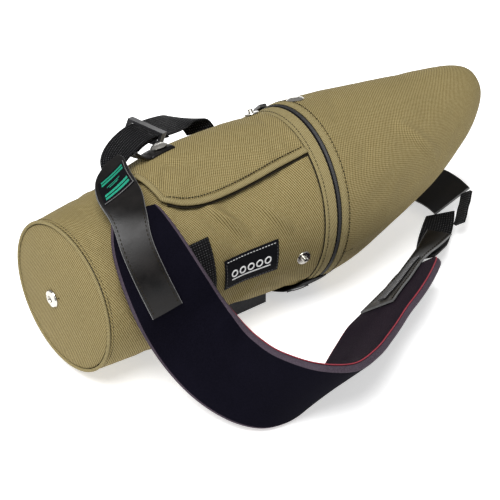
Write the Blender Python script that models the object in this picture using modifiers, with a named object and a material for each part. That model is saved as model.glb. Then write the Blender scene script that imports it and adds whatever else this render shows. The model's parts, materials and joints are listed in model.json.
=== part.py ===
# Carry case for a spotting scope: a padded twill tube lying on its side, with a
# zip-round objective cap, a zip-round eyepiece hood, a padded access flap over
# the focus window, a stiff frame round the tripod-foot port, press studs and a
# neoprene shoulder strap.
#
# Frame: +X runs along the case from the objective cap to the tip of the hood,
# +Z is up, the ground is z = 0.  All design numbers below are millimetres; the
# angle "theta" goes round the case: 0 faces -Y, 90 is the top, 180 faces +Y.
import bpy
import bmesh
import math
from mathutils import Vector, Matrix

MM = 0.001

# ------------------------------------------------------------------ dimensions
ORIGIN = (194.6282, -47.0389, 0.0)

AXIS_Z0, AXIS_RISE = 66.0, 6.0 / 211.5
RING_S = 212.7                     # plane of the hood zip
RING_TILT_UP, RING_TILT_SIDE = 7.0, 5.0

CAP_PROFILE = [(2.2, 59.1), (28.0, 61.2), (54.0, 63.4)]
CASE_PROFILE = [(60.6, 62.2), (90.0, 59.2), (123.0, 57.7), (142.0, 59.5),
                (160.0, 61.6), (190.0, 65.3), (205.0, 66.9), (213.0, 67.8)]
HOOD_PROFILE = [(214.0, 68.3), (224.0, 68.4), (245.0, 65.4), (270.0, 59.9),
                (300.0, 52.6), (330.0, 44.8), (355.0, 36.0), (372.0, 28.9),
                (385.0, 20.7), (392.0, 13.9), (396.0, 6.5)]
HOOD_LIFT = [(214.0, 0.0), (245.0, -0.3), (270.0, 1.8), (300.0, 4.6),
             (330.0, 7.4), (355.0, 12.9), (372.0, 17.4), (385.0, 21.8),
             (392.0, 24.1), (396.0, 24.4)]

BUMP_CENTRE, BUMP_HALF = 118.0, 62.0        # the raised top over the focus drum
BUMP_HEIGHT = [(62.0, 0.0), (84.0, 3.5), (104.0, 8.0), (124.0, 9.0),
               (145.0, 6.5), (164.0, 3.5), (178.0, 1.2), (196.0, 0.0),
               (214.0, 0.0)]

SHELL_T = 1.2          # coated twill
PAD_T = 4.4            # closed-cell foam
LINING_T = 0.8
WINDOW = (104.0, 190.0, 72.0, 108.0)        # access window: s0, s1, theta0, theta1
PORT = (112.0, 160.0, -108.0, -72.0)        # tripod-foot port

FLAP_FOLD = 107.0
FLAP_FAR = 168.0
FLAP_EDGE = [(80.0, 72.0), (90.0, 65.5), (106.0, 61.2), (128.0, 60.0),
             (150.0, 60.2), (175.0, 61.4), (198.5, 62.2)]
FLAP_T = [(80.0, 4.6), (165.0, 4.6), (180.0, 3.4), (198.5, 1.3)]

HINGE_HOOD_THETA, HINGE_CAP_THETA = 158.0, 180.0
CAP_JOINT_S = 57.3

STUD_R = 7.0

# ------------------------------------------------------------------- utilities
for ob in list(bpy.data.objects):
    bpy.data.objects.remove(ob, do_unlink=True)

PARTS = bpy.data.collections.new("telescope_carry_case")
CUTTERS = bpy.data.collections.new("cutters")
bpy.context.scene.collection.children.link(PARTS)
bpy.context.scene.collection.children.link(CUTTERS)


def curve_value(table, x):
    """Smooth value of a table of (x, y) points, flat slope outside its ends."""
    if x <= table[0][0]:
        return table[0][1]
    if x >= table[-1][0]:
        return table[-1][1]
    slopes = []
    for i in range(len(table)):
        a, b = max(i - 1, 0), min(i + 1, len(table) - 1)
        slopes.append((table[b][1] - table[a][1]) / (table[b][0] - table[a][0]))
    for i in range(len(table) - 1):
        x0, y0 = table[i]
        x1, y1 = table[i + 1]
        if x <= x1:
            h = x1 - x0
            t = (x - x0) / h
            return ((2 * t ** 3 - 3 * t ** 2 + 1) * y0 + (t ** 3 - 2 * t ** 2 + t) * h * slopes[i]
                    + (-2 * t ** 3 + 3 * t ** 2) * y1 + (t ** 3 - t ** 2) * h * slopes[i + 1])
    return table[-1][1]


def spline(points, t):
    """Catmull-Rom point at t in 0..1 through a list of tuples of equal length."""
    n = len(points) - 1
    u = min(max(t, 0.0), 1.0) * n
    i = min(int(u), n - 1)
    f = u - i
    p0 = points[max(i - 1, 0)]
    p1, p2 = points[i], points[i + 1]
    p3 = points[min(i + 2, n)]
    return tuple(0.5 * (2 * b + (c - a) * f + (2 * a - 5 * b + 4 * c - d) * f ** 2
                        + (3 * b - a - 3 * c + d) * f ** 3)
                 for a, b, c, d in zip(p0, p1, p2, p3))


def tilt(s):
    if s <= 60.0:
        return 0.0
    if s <= RING_S:
        return (s - 60.0) / (RING_S - 60.0)
    return max(0.0, 1.0 - (s - RING_S) / (396.0 - RING_S))


def frame(s):
    """Centre and the two in-plane axes (theta = 0 and theta = 90) of a section."""
    k = tilt(s)
    up, side = math.radians(RING_TILT_UP * k), math.radians(RING_TILT_SIDE * k)
    centre = Vector((s, 0.0, AXIS_Z0 + AXIS_RISE * s + curve_value(HOOD_LIFT, s)
                     if s > 214.0 else AXIS_Z0 + AXIS_RISE * s))
    e1 = Vector((-math.sin(side), -math.cos(side), 0.0))
    e2 = Vector((math.sin(up), 0.0, math.cos(up)))
    e2 = (e2 - e1 * e2.dot(e1)).normalized()
    return centre, e1, e2


def on_case(s, theta, r):
    c, e1, e2 = frame(s)
    a = math.radians(theta)
    return c + (e1 * math.cos(a) + e2 * math.sin(a)) * r


def radial(s, theta):
    c, e1, e2 = frame(s)
    a = math.radians(theta)
    return (e1 * math.cos(a) + e2 * math.sin(a)).normalized()


def bump(s, theta):
    d = abs((theta - BUMP_CENTRE + 180.0) % 360.0 - 180.0)
    if d >= BUMP_HALF:
        return 0.0
    return curve_value(BUMP_HEIGHT, s) * 0.5 * (1.0 + math.cos(math.pi * d / BUMP_HALF))


def case_r(s, theta):
    return curve_value(CASE_PROFILE, s) + bump(s, theta)


def cap_r(s, theta=0.0):
    return curve_value(CAP_PROFILE, s)


def hood_r(s, theta=0.0):
    return curve_value(HOOD_PROFILE, s)


MATERIALS = {}


def material(name, colour, roughness, metallic=0.0):
    if name not in MATERIALS:
        m = bpy.data.materials.new(name)
        m.use_nodes = True
        bsdf = m.node_tree.nodes.get("Principled BSDF")
        bsdf.inputs["Base Color"].default_value = (*colour, 1.0)
        bsdf.inputs["Roughness"].default_value = roughness
        bsdf.inputs["Metallic"].default_value = metallic
        m.diffuse_color = (*colour, 1.0)
        MATERIALS[name] = m
    return MATERIALS[name]


TWILL = ("olive_twill", (0.30, 0.26, 0.13), 0.85)
TWILL_DARK = ("olive_binding", (0.24, 0.21, 0.10), 0.85)
BLACK_FABRIC = ("black_fabric", (0.015, 0.015, 0.018), 0.8)
FOAM = ("grey_foam", (0.20, 0.20, 0.20), 0.95)
LINING = ("black_lining", (0.03, 0.03, 0.035), 0.85)
NICKEL = ("nickel", (0.75, 0.74, 0.70), 0.25, 1.0)
PLASTIC = ("black_plastic", (0.02, 0.02, 0.022), 0.4)
LEATHER = ("black_leather", (0.014, 0.013, 0.013), 0.35)
WEBBING = ("black_webbing", (0.02, 0.02, 0.022), 0.6)
NEOPRENE = ("black_neoprene", (0.013, 0.013, 0.02), 0.7)
NEOPRENE_IN = ("ribbed_neoprene", (0.03, 0.024, 0.034), 0.85)
LABEL = ("woven_label", (0.01, 0.01, 0.012), 0.6)


def world(p):
    return Vector(((p[0] - ORIGIN[0]) * MM, (p[1] - ORIGIN[1]) * MM, (p[2] - ORIGIN[2]) * MM))


ROOT = bpy.data.objects.new("case_origin", None)
CUTTERS.objects.link(ROOT)
ROOT.hide_render = True


def finish(name, mesh, mat, pivot=None, smooth=35.0):
    """Wrap a mesh made in world metres into a named part with its own origin."""
    pivot = world(pivot) if pivot is not None else Vector((0.0, 0.0, 0.0))
    mesh.transform(Matrix.Translation(-pivot))
    mesh.materials.clear()
    mesh.materials.append(material(*mat))
    ob = bpy.data.objects.new(name, mesh)
    PARTS.objects.link(ob)
    ob.parent = ROOT
    ob.location = pivot
    if smooth:
        mesh.shade_smooth()
        mesh.set_sharp_from_angle(angle=math.radians(smooth))
    return ob


def solidify(ob, thickness_mm, offset=-1.0):
    m = ob.modifiers.new("thickness", 'SOLIDIFY')
    m.thickness = thickness_mm * MM
    m.offset = offset
    m.use_even_offset = False
    m.use_rim = True
    return ob


def sheet(name, point, nu, nv, mat, thickness, offset=-1.0, wrap_v=False, outward=None,
          holes=(), pivot=None, skip=None, tip=None):
    """Open surface from point(i, j), i in 0..nu, j in 0..nv, then a Solidify.
    outward(i, j) gives a direction that the surface's front must face."""
    bm = bmesh.new()
    cols = nv if wrap_v else nv + 1
    verts = [[bm.verts.new(world(point(i, j))) for j in range(cols)] for i in range(nu + 1)]
    want = outward
    flip = None
    for i in range(nu):
        for j in range(nv):
            if skip is not None and skip(i, j):
                continue
            a, b = verts[i][j], verts[i][(j + 1) % cols]
            c, d = verts[i + 1][(j + 1) % cols], verts[i + 1][j]
            quad = [a, b, c, d]
            if flip is None:
                n = (b.co - a.co).cross(d.co - a.co)
                flip = n.dot(want(i, j)) < 0.0
            if flip:
                quad.reverse()
            bm.faces.new(quad)
    if tip is not None:
        tv = bm.verts.new(world(tip))
        for j in range(nv):
            tri = [verts[nu][j], verts[nu][(j + 1) % cols], tv]
            if flip:
                tri.reverse()
            bm.faces.new(tri)
    loose = [v for v in bm.verts if not v.link_faces]
    for v in loose:
        bm.verts.remove(v)
    me = bpy.data.meshes.new(name)
    bm.to_mesh(me)
    bm.free()
    ob = finish(name, me, mat, pivot)
    return solidify(ob, thickness, offset)


def round_shell(name, s_list, rfun, mat, thickness, seg=40, offset=0.0, hole=(), pivot=None,
                theta0=0.0, theta1=360.0, tip=None):
    """Shell of revolution-like sections; its outer face is at rfun + offset."""
    full = abs(theta1 - theta0 - 360.0) < 1e-6

    def th(j):
        return theta0 + (theta1 - theta0) * j / seg

    def point(i, j):
        return on_case(s_list[i], th(j), rfun(s_list[i], th(j)) + offset)

    def skip(i, j):
        s = 0.5 * (s_list[i] + s_list[i + 1])
        t = (th(j) + th(j + 1)) * 0.5
        for s0, s1, t0, t1 in hole:
            tt = (t - t0) % 360.0
            if s0 < s < s1 and 0.0 < tt < (t1 - t0):
                return True
        return False

    return sheet(name, point, len(s_list) - 1, seg, mat, thickness, -1.0, full,
                 lambda i, j: radial(s_list[i], th(j)), skip=skip, pivot=pivot, tip=tip)


def patch(name, s0, s1, t0, t1, rfun, offset, mat, thickness, ns=4, nt=6, pivot=None, lines=None):
    """A piece of fabric lying on the case: inner face at rfun + offset."""
    def point(i, j):
        s = lines[i] if lines else s0 + (s1 - s0) * i / ns
        t = t0 + (t1 - t0) * j / nt
        return on_case(s, t, rfun(s, t) + offset + thickness)
    return sheet(name, point, ns, nt, mat, thickness, -1.0, False,
                 lambda i, j: radial(s0, t0 + (t1 - t0) * j / nt), pivot=pivot)


def mesh_object(name, bm, mat, pivot=None, smooth=35.0):
    me = bpy.data.meshes.new(name)
    bm.to_mesh(me)
    bm.free()
    return finish(name, me, mat, pivot, smooth)


def oriented(x_dir, z_dir):
    """Rotation whose local Z is z_dir and whose local X is as near x_dir as can be."""
    z = Vector(z_dir).normalized()
    x = Vector(x_dir)
    x = (x - z * x.dot(z)).normalized()
    y = z.cross(x)
    return Matrix((x, y, z)).transposed().to_4x4()


def turned(name, place, profile, mat, steps=20, pivot=None):
    """Turned solid: profile of (radius, height) from the top axis point, down the
    outer side, to the bottom axis point, revolved about the local Z of 'place'."""
    me = bpy.data.meshes.new(name)
    pts = [(r * MM, 0.0, h * MM) for r, h in profile]
    me.from_pydata(pts, [(i, i + 1) for i in range(len(pts) - 1)], [])
    me.materials.append(material(*mat))
    ob = bpy.data.objects.new(name, me)
    PARTS.objects.link(ob)
    ob.parent = ROOT
    ob.matrix_world = Matrix.Translation(world(place.translation)) @ place.to_3x3().to_4x4()
    m = ob.modifiers.new("turn", 'SCREW')
    m.axis = 'Z'
    m.steps = m.render_steps = steps
    m.use_merge_vertices = True
    m.merge_threshold = 0.00005
    m.use_smooth_shade = True
    m.use_normal_calculate = False
    return ob


def box(name, centre, size, rot, mat, bevel=0.0, pivot=None):
    bm = bmesh.new()
    bmesh.ops.create_cube(bm, size=1.0)
    for v in bm.verts:
        v.co = Vector((v.co.x * size[0] * MM, v.co.y * size[1] * MM, v.co.z * size[2] * MM))
    if bevel:
        bmesh.ops.bevel(bm, geom=list(bm.edges), offset=bevel * MM, segments=1,
                        affect='EDGES', profile=0.5)
    bmesh.ops.transform(bm, matrix=Matrix.Translation(world(centre)) @ rot.to_3x3().to_4x4(),
                        verts=list(bm.verts))
    return mesh_object(name, bm, mat, pivot)


def apply_modifiers(ob):
    bpy.context.view_layer.update()
    deps = bpy.context.evaluated_depsgraph_get()
    me = bpy.data.meshes.new_from_object(ob.evaluated_get(deps))
    ob.modifiers.clear()
    ob.data = me
    return ob


# ------------------------------------------------------------------- the case
S_CASE = [60.6, 84.0, 94.0, 104.0, 112.0, 124.0, 136.0, 148.0, 160.0, 175.0, 190.0, 199.2]
round_shell("case_shell", S_CASE, case_r, TWILL, SHELL_T, seg=40, hole=[WINDOW, PORT])
S_PAD = [61.6, 84.0, 104.0, 112.0, 136.0, 160.0, 175.0, 190.0, 206.0]
round_shell("case_padding", S_PAD, case_r, FOAM, PAD_T, seg=20, offset=-1.9, hole=[WINDOW, PORT])
round_shell("case_lining", S_PAD, case_r, LINING, LINING_T, seg=20, offset=-7.0, hole=[WINDOW, PORT])
round_shell("ring_band", [199.7, 205.0, 210.4], lambda s, t: case_r(s, t) + 1.0, TWILL, 1.6, seg=40)
round_shell("hood_zip_tape_case", [210.8, 212.3], lambda s, t: 68.4, BLACK_FABRIC, 3.0, seg=40)

# zip halves of the hood: the coil stands 0.6 mm proud of the tape
round_shell("hood_zip_tape_hood", [212.8, 214.3], lambda s, t: 68.4, BLACK_FABRIC, 3.0, seg=40)

# ------------------------------------------------------------------- the hood
S_HOOD = [214.7, 228.0, 245.0, 270.0, 300.0, 330.0, 355.0, 372.0, 385.0, 392.5]
tip_c = frame(396.0)[0]
round_shell("hood_shell", S_HOOD, hood_r, TWILL, SHELL_T, seg=40, tip=tuple(tip_c))
S_HLIN = [215.4, 245.0, 275.0, 310.0, 345.0, 370.0, 384.0]
tip_l = frame(389.0)[0]
round_shell("hood_lining", S_HLIN, lambda s, t: hood_r(s) - 2.0, LINING, 2.6, seg=20, tip=tuple(tip_l))

# -------------------------------------------------------------- objective cap
round_shell("cap_wall", [2.4, 28.0, 53.8], cap_r, TWILL, SHELL_T, seg=40)
round_shell("cap_padding", [8.2, 30.0, 53.2], cap_r, FOAM, 3.4, seg=20, offset=-2.0)


def disc(name, s, radius, dome, thickness, mat, rings=4, seg=32, side=-1.0):
    """Domed round panel; it bulges towards -X by 'dome'."""
    bm = bmesh.new()
    rows = []
    for k in range(1, rings + 1):
        r = radius * k / rings
        h = dome * (1.0 - (k / rings) ** 2)
        rows.append([bm.verts.new(world(on_case(s, 360.0 * j / seg, r) + Vector((side * h, 0, 0))))
                     for j in range(seg)])
    tip = bm.verts.new(world(on_case(s, 0.0, 0.0) + Vector((side * dome, 0, 0))))
    for j in range(seg):
        f = bm.faces.new([tip, rows[0][j], rows[0][(j + 1) % seg]])
        if f.normal.length == 0.0:
            f.normal_update()
    for k in range(rings - 1):
        for j in range(seg):
            bm.faces.new([rows[k][j], rows[k + 1][j], rows[k + 1][(j + 1) % seg], rows[k][(j + 1) % seg]])
    bm.normal_update()
    total = sum((f.normal.x for f in bm.faces), 0.0)
    if total * side < 0.0:
        bmesh.ops.reverse_faces(bm, faces=list(bm.faces))
    return solidify(mesh_object(name, bm, mat), thickness, -1.0)


CAP_DOME = 4.0
disc("cap_end_panel", 0.2, 57.2, CAP_DOME, 1.2, TWILL)
disc("cap_cushion", 3.4, 56.4, 3.4, 3.6, FOAM, rings=3, seg=20)

bpy.ops.mesh.primitive_torus_add(major_segments=40, minor_segments=8, major_radius=58.8 * MM,
                                 minor_radius=1.25 * MM)
piping = bpy.context.object
piping.name = "cap_piping"
piping.data.materials.append(material(*TWILL_DARK))
for col in list(piping.users_collection):
    col.objects.unlink(piping)
PARTS.objects.link(piping)
piping.parent = ROOT
piping.location = world(on_case(0.4, 0.0, 0.0))
piping.rotation_euler = (0.0, math.radians(90.0), 0.0)
piping.data.shade_smooth()

round_shell("cap_zip_tape_cap", [54.3, 57.0], lambda s, t: 62.6, BLACK_FABRIC, 2.6, seg=40)
round_shell("cap_zip_tape_case", [57.6, 60.2], lambda s, t: 62.6, BLACK_FABRIC, 2.6, seg=40)

# --------------------------------------------------------- fabric hinge straps
patch("cap_hinge_web_case", 57.8, 72.0, 170.0, 190.0, lambda s, t: 63.1 if s < 61 else case_r(s, t) + 0.0,
      0.5, BLACK_FABRIC, 1.2, ns=4, nt=4)
patch("cap_hinge_web_cap", 42.0, 56.8, 170.0, 190.0, lambda s, t: cap_r(s), 0.5, BLACK_FABRIC, 1.2, ns=3, nt=4)
patch("hood_hinge_web_case", 196.0, 212.0, 156.0, 170.0, lambda s, t: 68.9, 0.4, BLACK_FABRIC, 1.2, ns=3, nt=4)
patch("hood_hinge_web_hood", 213.4, 230.0, 156.0, 170.0, lambda s, t: 68.9 - max(0.0, s - 224.0) * 0.05,
      0.4, BLACK_FABRIC, 1.2, ns=3, nt=4)

# ------------------------------------------------------------------ access flap


def flap_t(s):
    return curve_value(FLAP_T, s)


FS = [80.0, 84.0, 94.0, 104.0, 112.0, 124.0, 136.0, 148.0, 160.0, 175.0, 190.0, 198.5]


def flap_point(i, j):
    s = FS[i]
    t0 = curve_value(FLAP_EDGE, s) + 1.6
    t = t0 + (FLAP_FOLD - t0) * j / 6
    return on_case(s, t, case_r(s, t) + 0.8 + flap_t(s))


# The flap folds about a straight line over the crest of its fold edge.
flap_pivot = tuple(on_case(124.0, FLAP_FOLD, case_r(124.0, FLAP_FOLD) + 1.2 + flap_t(124.0)))
FLAP_AXIS = (1.0, 0.0, AXIS_RISE)


def tapered_panel(name, s_list, t0fun, t1fun, nt, mat, base=1.2, pivot=None, skin=0.0, tfun=flap_t):
    """Closed panel between case_r + base and case_r + base + thickness(s)."""
    bm = bmesh.new()
    ns = len(s_list) - 1
    lay = []
    for top in (0, 1):
        rows = []
        for s in s_list:
            t0, t1 = t0fun(s), t1fun(s)
            rows.append([bm.verts.new(world(on_case(s, t0 + (t1 - t0) * j / nt,
                         case_r(s, t0 + (t1 - t0) * j / nt) + base + (tfun(s) if top else 0.0))))
                         for j in range(nt + 1)])
        lay.append(rows)
    for top in (0, 1):
        for i in range(ns):
            for j in range(nt):
                q = [lay[top][i][j], lay[top][i][j + 1], lay[top][i + 1][j + 1], lay[top][i + 1][j]]
                bm.faces.new(q)
    rim = ([(i, 0) for i in range(ns)] + [(ns, j) for j in range(nt)]
           + [(i, nt) for i in range(ns, 0, -1)] + [(0, j) for j in range(nt, 0, -1)])
    for k in range(len(rim)):
        a, b = rim[k], rim[(k + 1) % len(rim)]
        bm.faces.new([lay[0][a[0]][a[1]], lay[0][b[0]][b[1]], lay[1][b[0]][b[1]], lay[1][a[0]][a[1]]])
    bmesh.ops.recalc_face_normals(bm, faces=list(bm.faces))
    return mesh_object(name, bm, mat, pivot)


tapered_panel("access_flap", FS, lambda s: curve_value(FLAP_EDGE, s) + 1.6, lambda s: FLAP_FOLD - 0.25,
              6, TWILL, pivot=flap_pivot)
BS = [66.0, 84.0, 94.0, 104.0, 112.0, 124.0, 136.0, 148.0, 160.0, 175.0, 190.0, 198.5]
tapered_panel("top_panel", BS, lambda s: FLAP_FOLD + 0.25, lambda s: FLAP_FAR, 6, TWILL)


def tube(name, pts, radius, mat, res=2, cyclic=False, pivot=None):
    cu = bpy.data.curves.new(name, 'CURVE')
    cu.dimensions = '3D'
    sp = cu.splines.new('POLY')
    sp.points.add(len(pts) - 1)
    for p, q in zip(sp.points, pts):
        w = world(q)
        p.co = (w.x, w.y, w.z, 1.0)
    sp.use_cyclic_u = cyclic
    cu.bevel_depth = radius * MM
    cu.bevel_resolution = res
    cu.use_fill_caps = True
    cu.materials.append(material(*mat))
    ob = bpy.data.objects.new(name, cu)
    PARTS.objects.link(ob)
    ob.parent = ROOT
    return ob


def flap_rim():
    pts = []
    for k in range(15):
        s = 198.3 - (198.3 - 80.0) * k / 14
        t = curve_value(FLAP_EDGE, s) - 0.4
        pts.append(on_case(s, t, case_r(s, t) + max(2.3, 0.9 + 1.9 * flap_t(s) / 4.6)))
    return pts


tube("flap_binding", flap_rim(), 1.7, TWILL_DARK, res=1)
patch("flap_closure_strip", 104.0, 175.0, 63.4, 71.6, case_r, 0.45, BLACK_FABRIC, 0.4,
      ns=6, nt=2, lines=[104.0, 112.0, 124.0, 136.0, 148.0, 160.0, 175.0])

# --------------------------------------------------------- tripod-foot frame
FRAME_X0, FRAME_X1, FRAME_HALF = 101.0, 171.0, 24.0


def case_cutter(name, grow, s_list, seg=40):
    bm = bmesh.new()
    rings = [[bm.verts.new(world(on_case(s, 360.0 * j / seg, case_r(s, 360.0 * j / seg) + grow)))
              for j in range(seg)] for s in s_list]
    for i in range(len(rings) - 1):
        for j in range(seg):
            bm.faces.new([rings[i][j], rings[i][(j + 1) % seg], rings[i + 1][(j + 1) % seg], rings[i + 1][j]])
    bm.faces.new(list(reversed(rings[0])))
    bm.faces.new(rings[-1])
    bmesh.ops.recalc_face_normals(bm, faces=list(bm.faces))
    me = bpy.data.meshes.new(name)
    bm.to_mesh(me)
    bm.free()
    ob = bpy.data.objects.new(name, me)
    CUTTERS.objects.link(ob)
    ob.hide_render = True
    ob.display_type = 'WIRE'
    return ob


def boolean(ob, cutter, op='DIFFERENCE'):
    m = ob.modifiers.new("cut", 'BOOLEAN')
    m.operation = op
    m.solver = 'EXACT'
    m.object = cutter
    return ob


def cutter_box(name, lo, hi):
    bm = bmesh.new()
    bmesh.ops.create_cube(bm, size=1.0)
    for v in bm.verts:
        v.co = world([lo[k] + (hi[k] - lo[k]) * (v.co[k] + 0.5) for k in range(3)])
    me = bpy.data.meshes.new(name)
    bm.to_mesh(me)
    bm.free()
    ob = bpy.data.objects.new(name, me)
    CUTTERS.objects.link(ob)
    ob.hide_render = True
    ob.display_type = 'WIRE'
    return ob


foot = box("foot_port_frame", ((FRAME_X0 + FRAME_X1) / 2, 0.0, 8.5), (FRAME_X1 - FRAME_X0, 2 * FRAME_HALF, 17.0),
           Matrix.Identity(4), PLASTIC, bevel=0.0)
boolean(foot, case_cutter("case_envelope", 0.45, [84.0, 104.0, 112.0, 136.0, 160.0, 175.0, 190.0]))
boolean(foot, cutter_box("port_opening", (114.0, -16.5, -5.0), (158.0, 16.5, 30.0)))

# ------------------------------------------------------- label, belly webbing
patch("side_label", 107.5, 157.0, -9.2, 15.3, case_r, 0.4, LABEL, 0.9, ns=5, nt=3)
patch("belly_webbing", 80.0, 98.5, -84.0, 37.5, case_r, 0.4, WEBBING, 1.5, ns=2, nt=13)

# ----------------------------------------------------- black gusset at the zip
def gusset_point(i, j):
    t = -40.0 - 66.0 * j / 8
    spread = 0.35 + 0.65 * math.sin(math.pi * min(1.0, (j + 1) / 6.0) * 0.5)
    s = 206.0 + (i / 4 - 0.5) * 44.0 * spread
    swell = 2.0 * math.sin(math.pi * j / 8) * math.sin(math.pi * i / 4)
    base = (case_r(min(s, 213.0), t) + 1.0) if s < 214.5 else hood_r(s) + 0.6
    return on_case(s, t, max(base, 67.9) + 0.6 + 1.6 + swell)


sheet("zip_gusset", gusset_point, 4, 8, BLACK_FABRIC, 1.6, -1.0, False,
      lambda i, j: radial(206.0, -40.0 - 66.0 * j / 8))

# ----------------------------------------------------------------- press studs
def surface_normal(rfun, s, theta):
    a = on_case(s + 3.0, theta, rfun(s + 3.0, theta)) - on_case(s - 3.0, theta, rfun(s - 3.0, theta))
    b = on_case(s, theta + 3.0, rfun(s, theta + 3.0)) - on_case(s, theta - 3.0, rfun(s, theta - 3.0))
    n = a.cross(b).normalized()
    return n if n.dot(radial(s, theta)) > 0.0 else -n


def stud_cap(name, s, theta, rfun, gap, mat=NICKEL, rad=STUD_R, height=2.4):
    n = surface_normal(rfun, s, theta)
    pl = Matrix.Translation(on_case(s, theta, rfun(s, theta)) + n * gap) @ oriented((1, 0, 0), n)
    return turned(name, pl, [(0.0, height), (rad * 0.45, height * 0.93), (rad * 0.8, height * 0.6),
                             (rad, 0.35), (rad, 0.0), (0.0, 0.0)], mat)


def stud_post(name, s, theta, rfun, gap, mat=NICKEL):
    n = surface_normal(rfun, s, theta)
    pl = Matrix.Translation(on_case(s, theta, rfun(s, theta)) + n * gap) @ oriented((1, 0, 0), n)
    return turned(name, pl, [(0.0, 4.2), (1.6, 4.0), (2.2, 3.2), (1.7, 2.2), (2.4, 1.2), (5.6, 0.9),
                             (6.0, 0.3), (6.0, 0.0), (0.0, 0.0)], mat)


def top_r(s, t):
    return case_r(s, t) + 1.2 + flap_t(s)



# belt loop of leather over the crest, closed by the top snap
LOOP_S0, LOOP_S1, LOOP_T0, LOOP_T1, LOOP_H = 97.0, 117.0, 108.3, 124.0, 0.0


def loop_r(s, t):
    v = min(max((t - LOOP_T0) / (LOOP_T1 - LOOP_T0), 0.0), 1.0)
    return top_r(s, t) + 0.5 + 2.2 + LOOP_H * math.sin(math.pi * v) ** 0.8


sheet("top_snap_loop", lambda i, j: on_case(LOOP_S0 + (LOOP_S1 - LOOP_S0) * i / 3.0, LOOP_T0 + (LOOP_T1 - LOOP_T0) * j / 14.0,
                                            loop_r(LOOP_S0 + (LOOP_S1 - LOOP_S0) * i / 3.0,
                                                   LOOP_T0 + (LOOP_T1 - LOOP_T0) * j / 14.0)),
      3, 14, LEATHER, 2.2, -1.0, False, lambda i, j: radial(109.0, LOOP_T0 + (LOOP_T1 - LOOP_T0) * j / 14.0))
stud_cap("top_snap_cap", 108.5, 115.2, loop_r, 0.9)
stud_post("top_stud", 192.5, 121.0, top_r, 0.45)
stud_cap("hood_snap_cap", 227.0, 112.0, hood_r, 0.5)
stud_post("side_stud", 181.5, -7.8, case_r, 0.4)

CAP_SNAP = (7.8, 61.8)                     # where the snap sits on the end panel (y, z)
_rr = math.hypot(CAP_SNAP[0], CAP_SNAP[1] - AXIS_Z0)
_dx = CAP_DOME * (1.0 - (_rr / 57.2) ** 2)
n_cap = Vector((-1.0, CAP_DOME * 2 * CAP_SNAP[0] / 57.2 ** 2, CAP_DOME * 2 * (CAP_SNAP[1] - AXIS_Z0) / 57.2 ** 2)).normalized()
pl = Matrix.Translation(Vector((0.2 - _dx, CAP_SNAP[0], CAP_SNAP[1])) + n_cap * 0.55) @ oriented((0, 1, 0), n_cap)
turned("cap_snap", pl, [(0.0, 1.1), (2.6, 1.0), (3.0, 2.2), (4.2, 2.4), (6.4, 1.5), (7.0, 0.3), (7.0, 0.0), (0.0, 0.0)],
       NICKEL)

# ----------------------------------------------------------- zip sliders, pulls
def zip_slider(prefix, s, theta, r, pull_len, lying):
    """Slider body on the coil; its pull tab trails from the +theta end, either
    lying along the case or hanging straight down."""
    c, e1, e2 = frame(s)
    ax = e1.cross(e2).normalized()
    a = math.radians(theta)
    n = (e1 * math.cos(a) + e2 * math.sin(a)).normalized()
    t = (-e1 * math.sin(a) + e2 * math.cos(a)).normalized()
    p = c + n * (r + 1.6)
    box(prefix + "_slider", p, (10.0, 7.0, 3.2), oriented(t, n), NICKEL, bevel=0.6, pivot=c)
    hinge = c + n * (r + 2.3) + t * 6.6
    d = t.copy() if lying else Vector((0.0, 0.0, -1.0))
    d = (d - ax * d.dot(ax)).normalized()
    q = hinge + d * (pull_len / 2 + 0.2)
    box(prefix + "_pull", q, (pull_len, 4.0 if lying else 5.0, 1.4), oriented(d, ax.cross(d)), PLASTIC, bevel=0.4, pivot=hinge)
    return c, ax, hinge


HOOD_ZIP = zip_slider("hood_zip", RING_S, 138.0, 69.4, 9.0, True)
CAP_ZIP = zip_slider("cap_zip", CAP_JOINT_S, -140.0, 63.9, 16.0, False)

# --------------------------------------------------------------------- strap
# The band as stations: centre, direction towards the raised edge.
BAND = [((59.6, 11.0, 140.5), (0.985, 0.138, -0.100)), ((51.5, -16.1, 139.8), (0.969, -0.244, 0.040)),
        ((44.5, -35.6, 135.9), (0.895, -0.404, 0.190)), ((40.7, -49.8, 126.5), (0.890, -0.366, 0.271)),
        ((40.8, -64.4, 109.8), (0.913, -0.272, 0.304)), ((46.2, -74.0, 88.3), (0.893, -0.261, 0.366)),
        ((54.3, -78.8, 67.5), (0.811, -0.330, 0.484)), ((59.5, -91.3, 52.4), (0.678, -0.285, 0.678)),
        ((61.9, -112.3, 45.0), (0.495, -0.122, 0.861)), ((65.6, -135.3, 42.2), (0.277, -0.037, 0.960)),
        ((74.4, -155.0, 39.8), (0.105, -0.166, 0.981)), ((93.2, -167.5, 35.8), (0.089, -0.411, 0.907)),
        ((118.4, -169.0, 31.1), (0.232, -0.580, 0.781)), ((144.0, -158.2, 28.4), (0.384, -0.611, 0.693)),
        ((167.1, -143.9, 26.4), (0.454, -0.633, 0.627)), ((186.5, -131.3, 24.6), (0.456, -0.669, 0.587)),
        ((204.7, -120.2, 23.8), (0.417, -0.706, 0.573)), ((225.6, -110.0, 22.3), (0.390, -0.699, 0.599)),
        ((250.0, -97.2, 21.0), (0.412, -0.670, 0.617)), ((276.7, -80.8, 19.0), (0.466, -0.649, 0.601))]
# The leather tab runs on past the pad's end, up to the webbing.
TAB_LEFT = [((69.0, 30.0, 141.0), (0.90, 0.42, -0.12))] + BAND[:9]
PAD_LEFT, PAD_MID, PAD_RIGHT = 61.6, 73.7, 58.8
PAD_CORE, PAD_LINING = 5.8, 1.0


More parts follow.
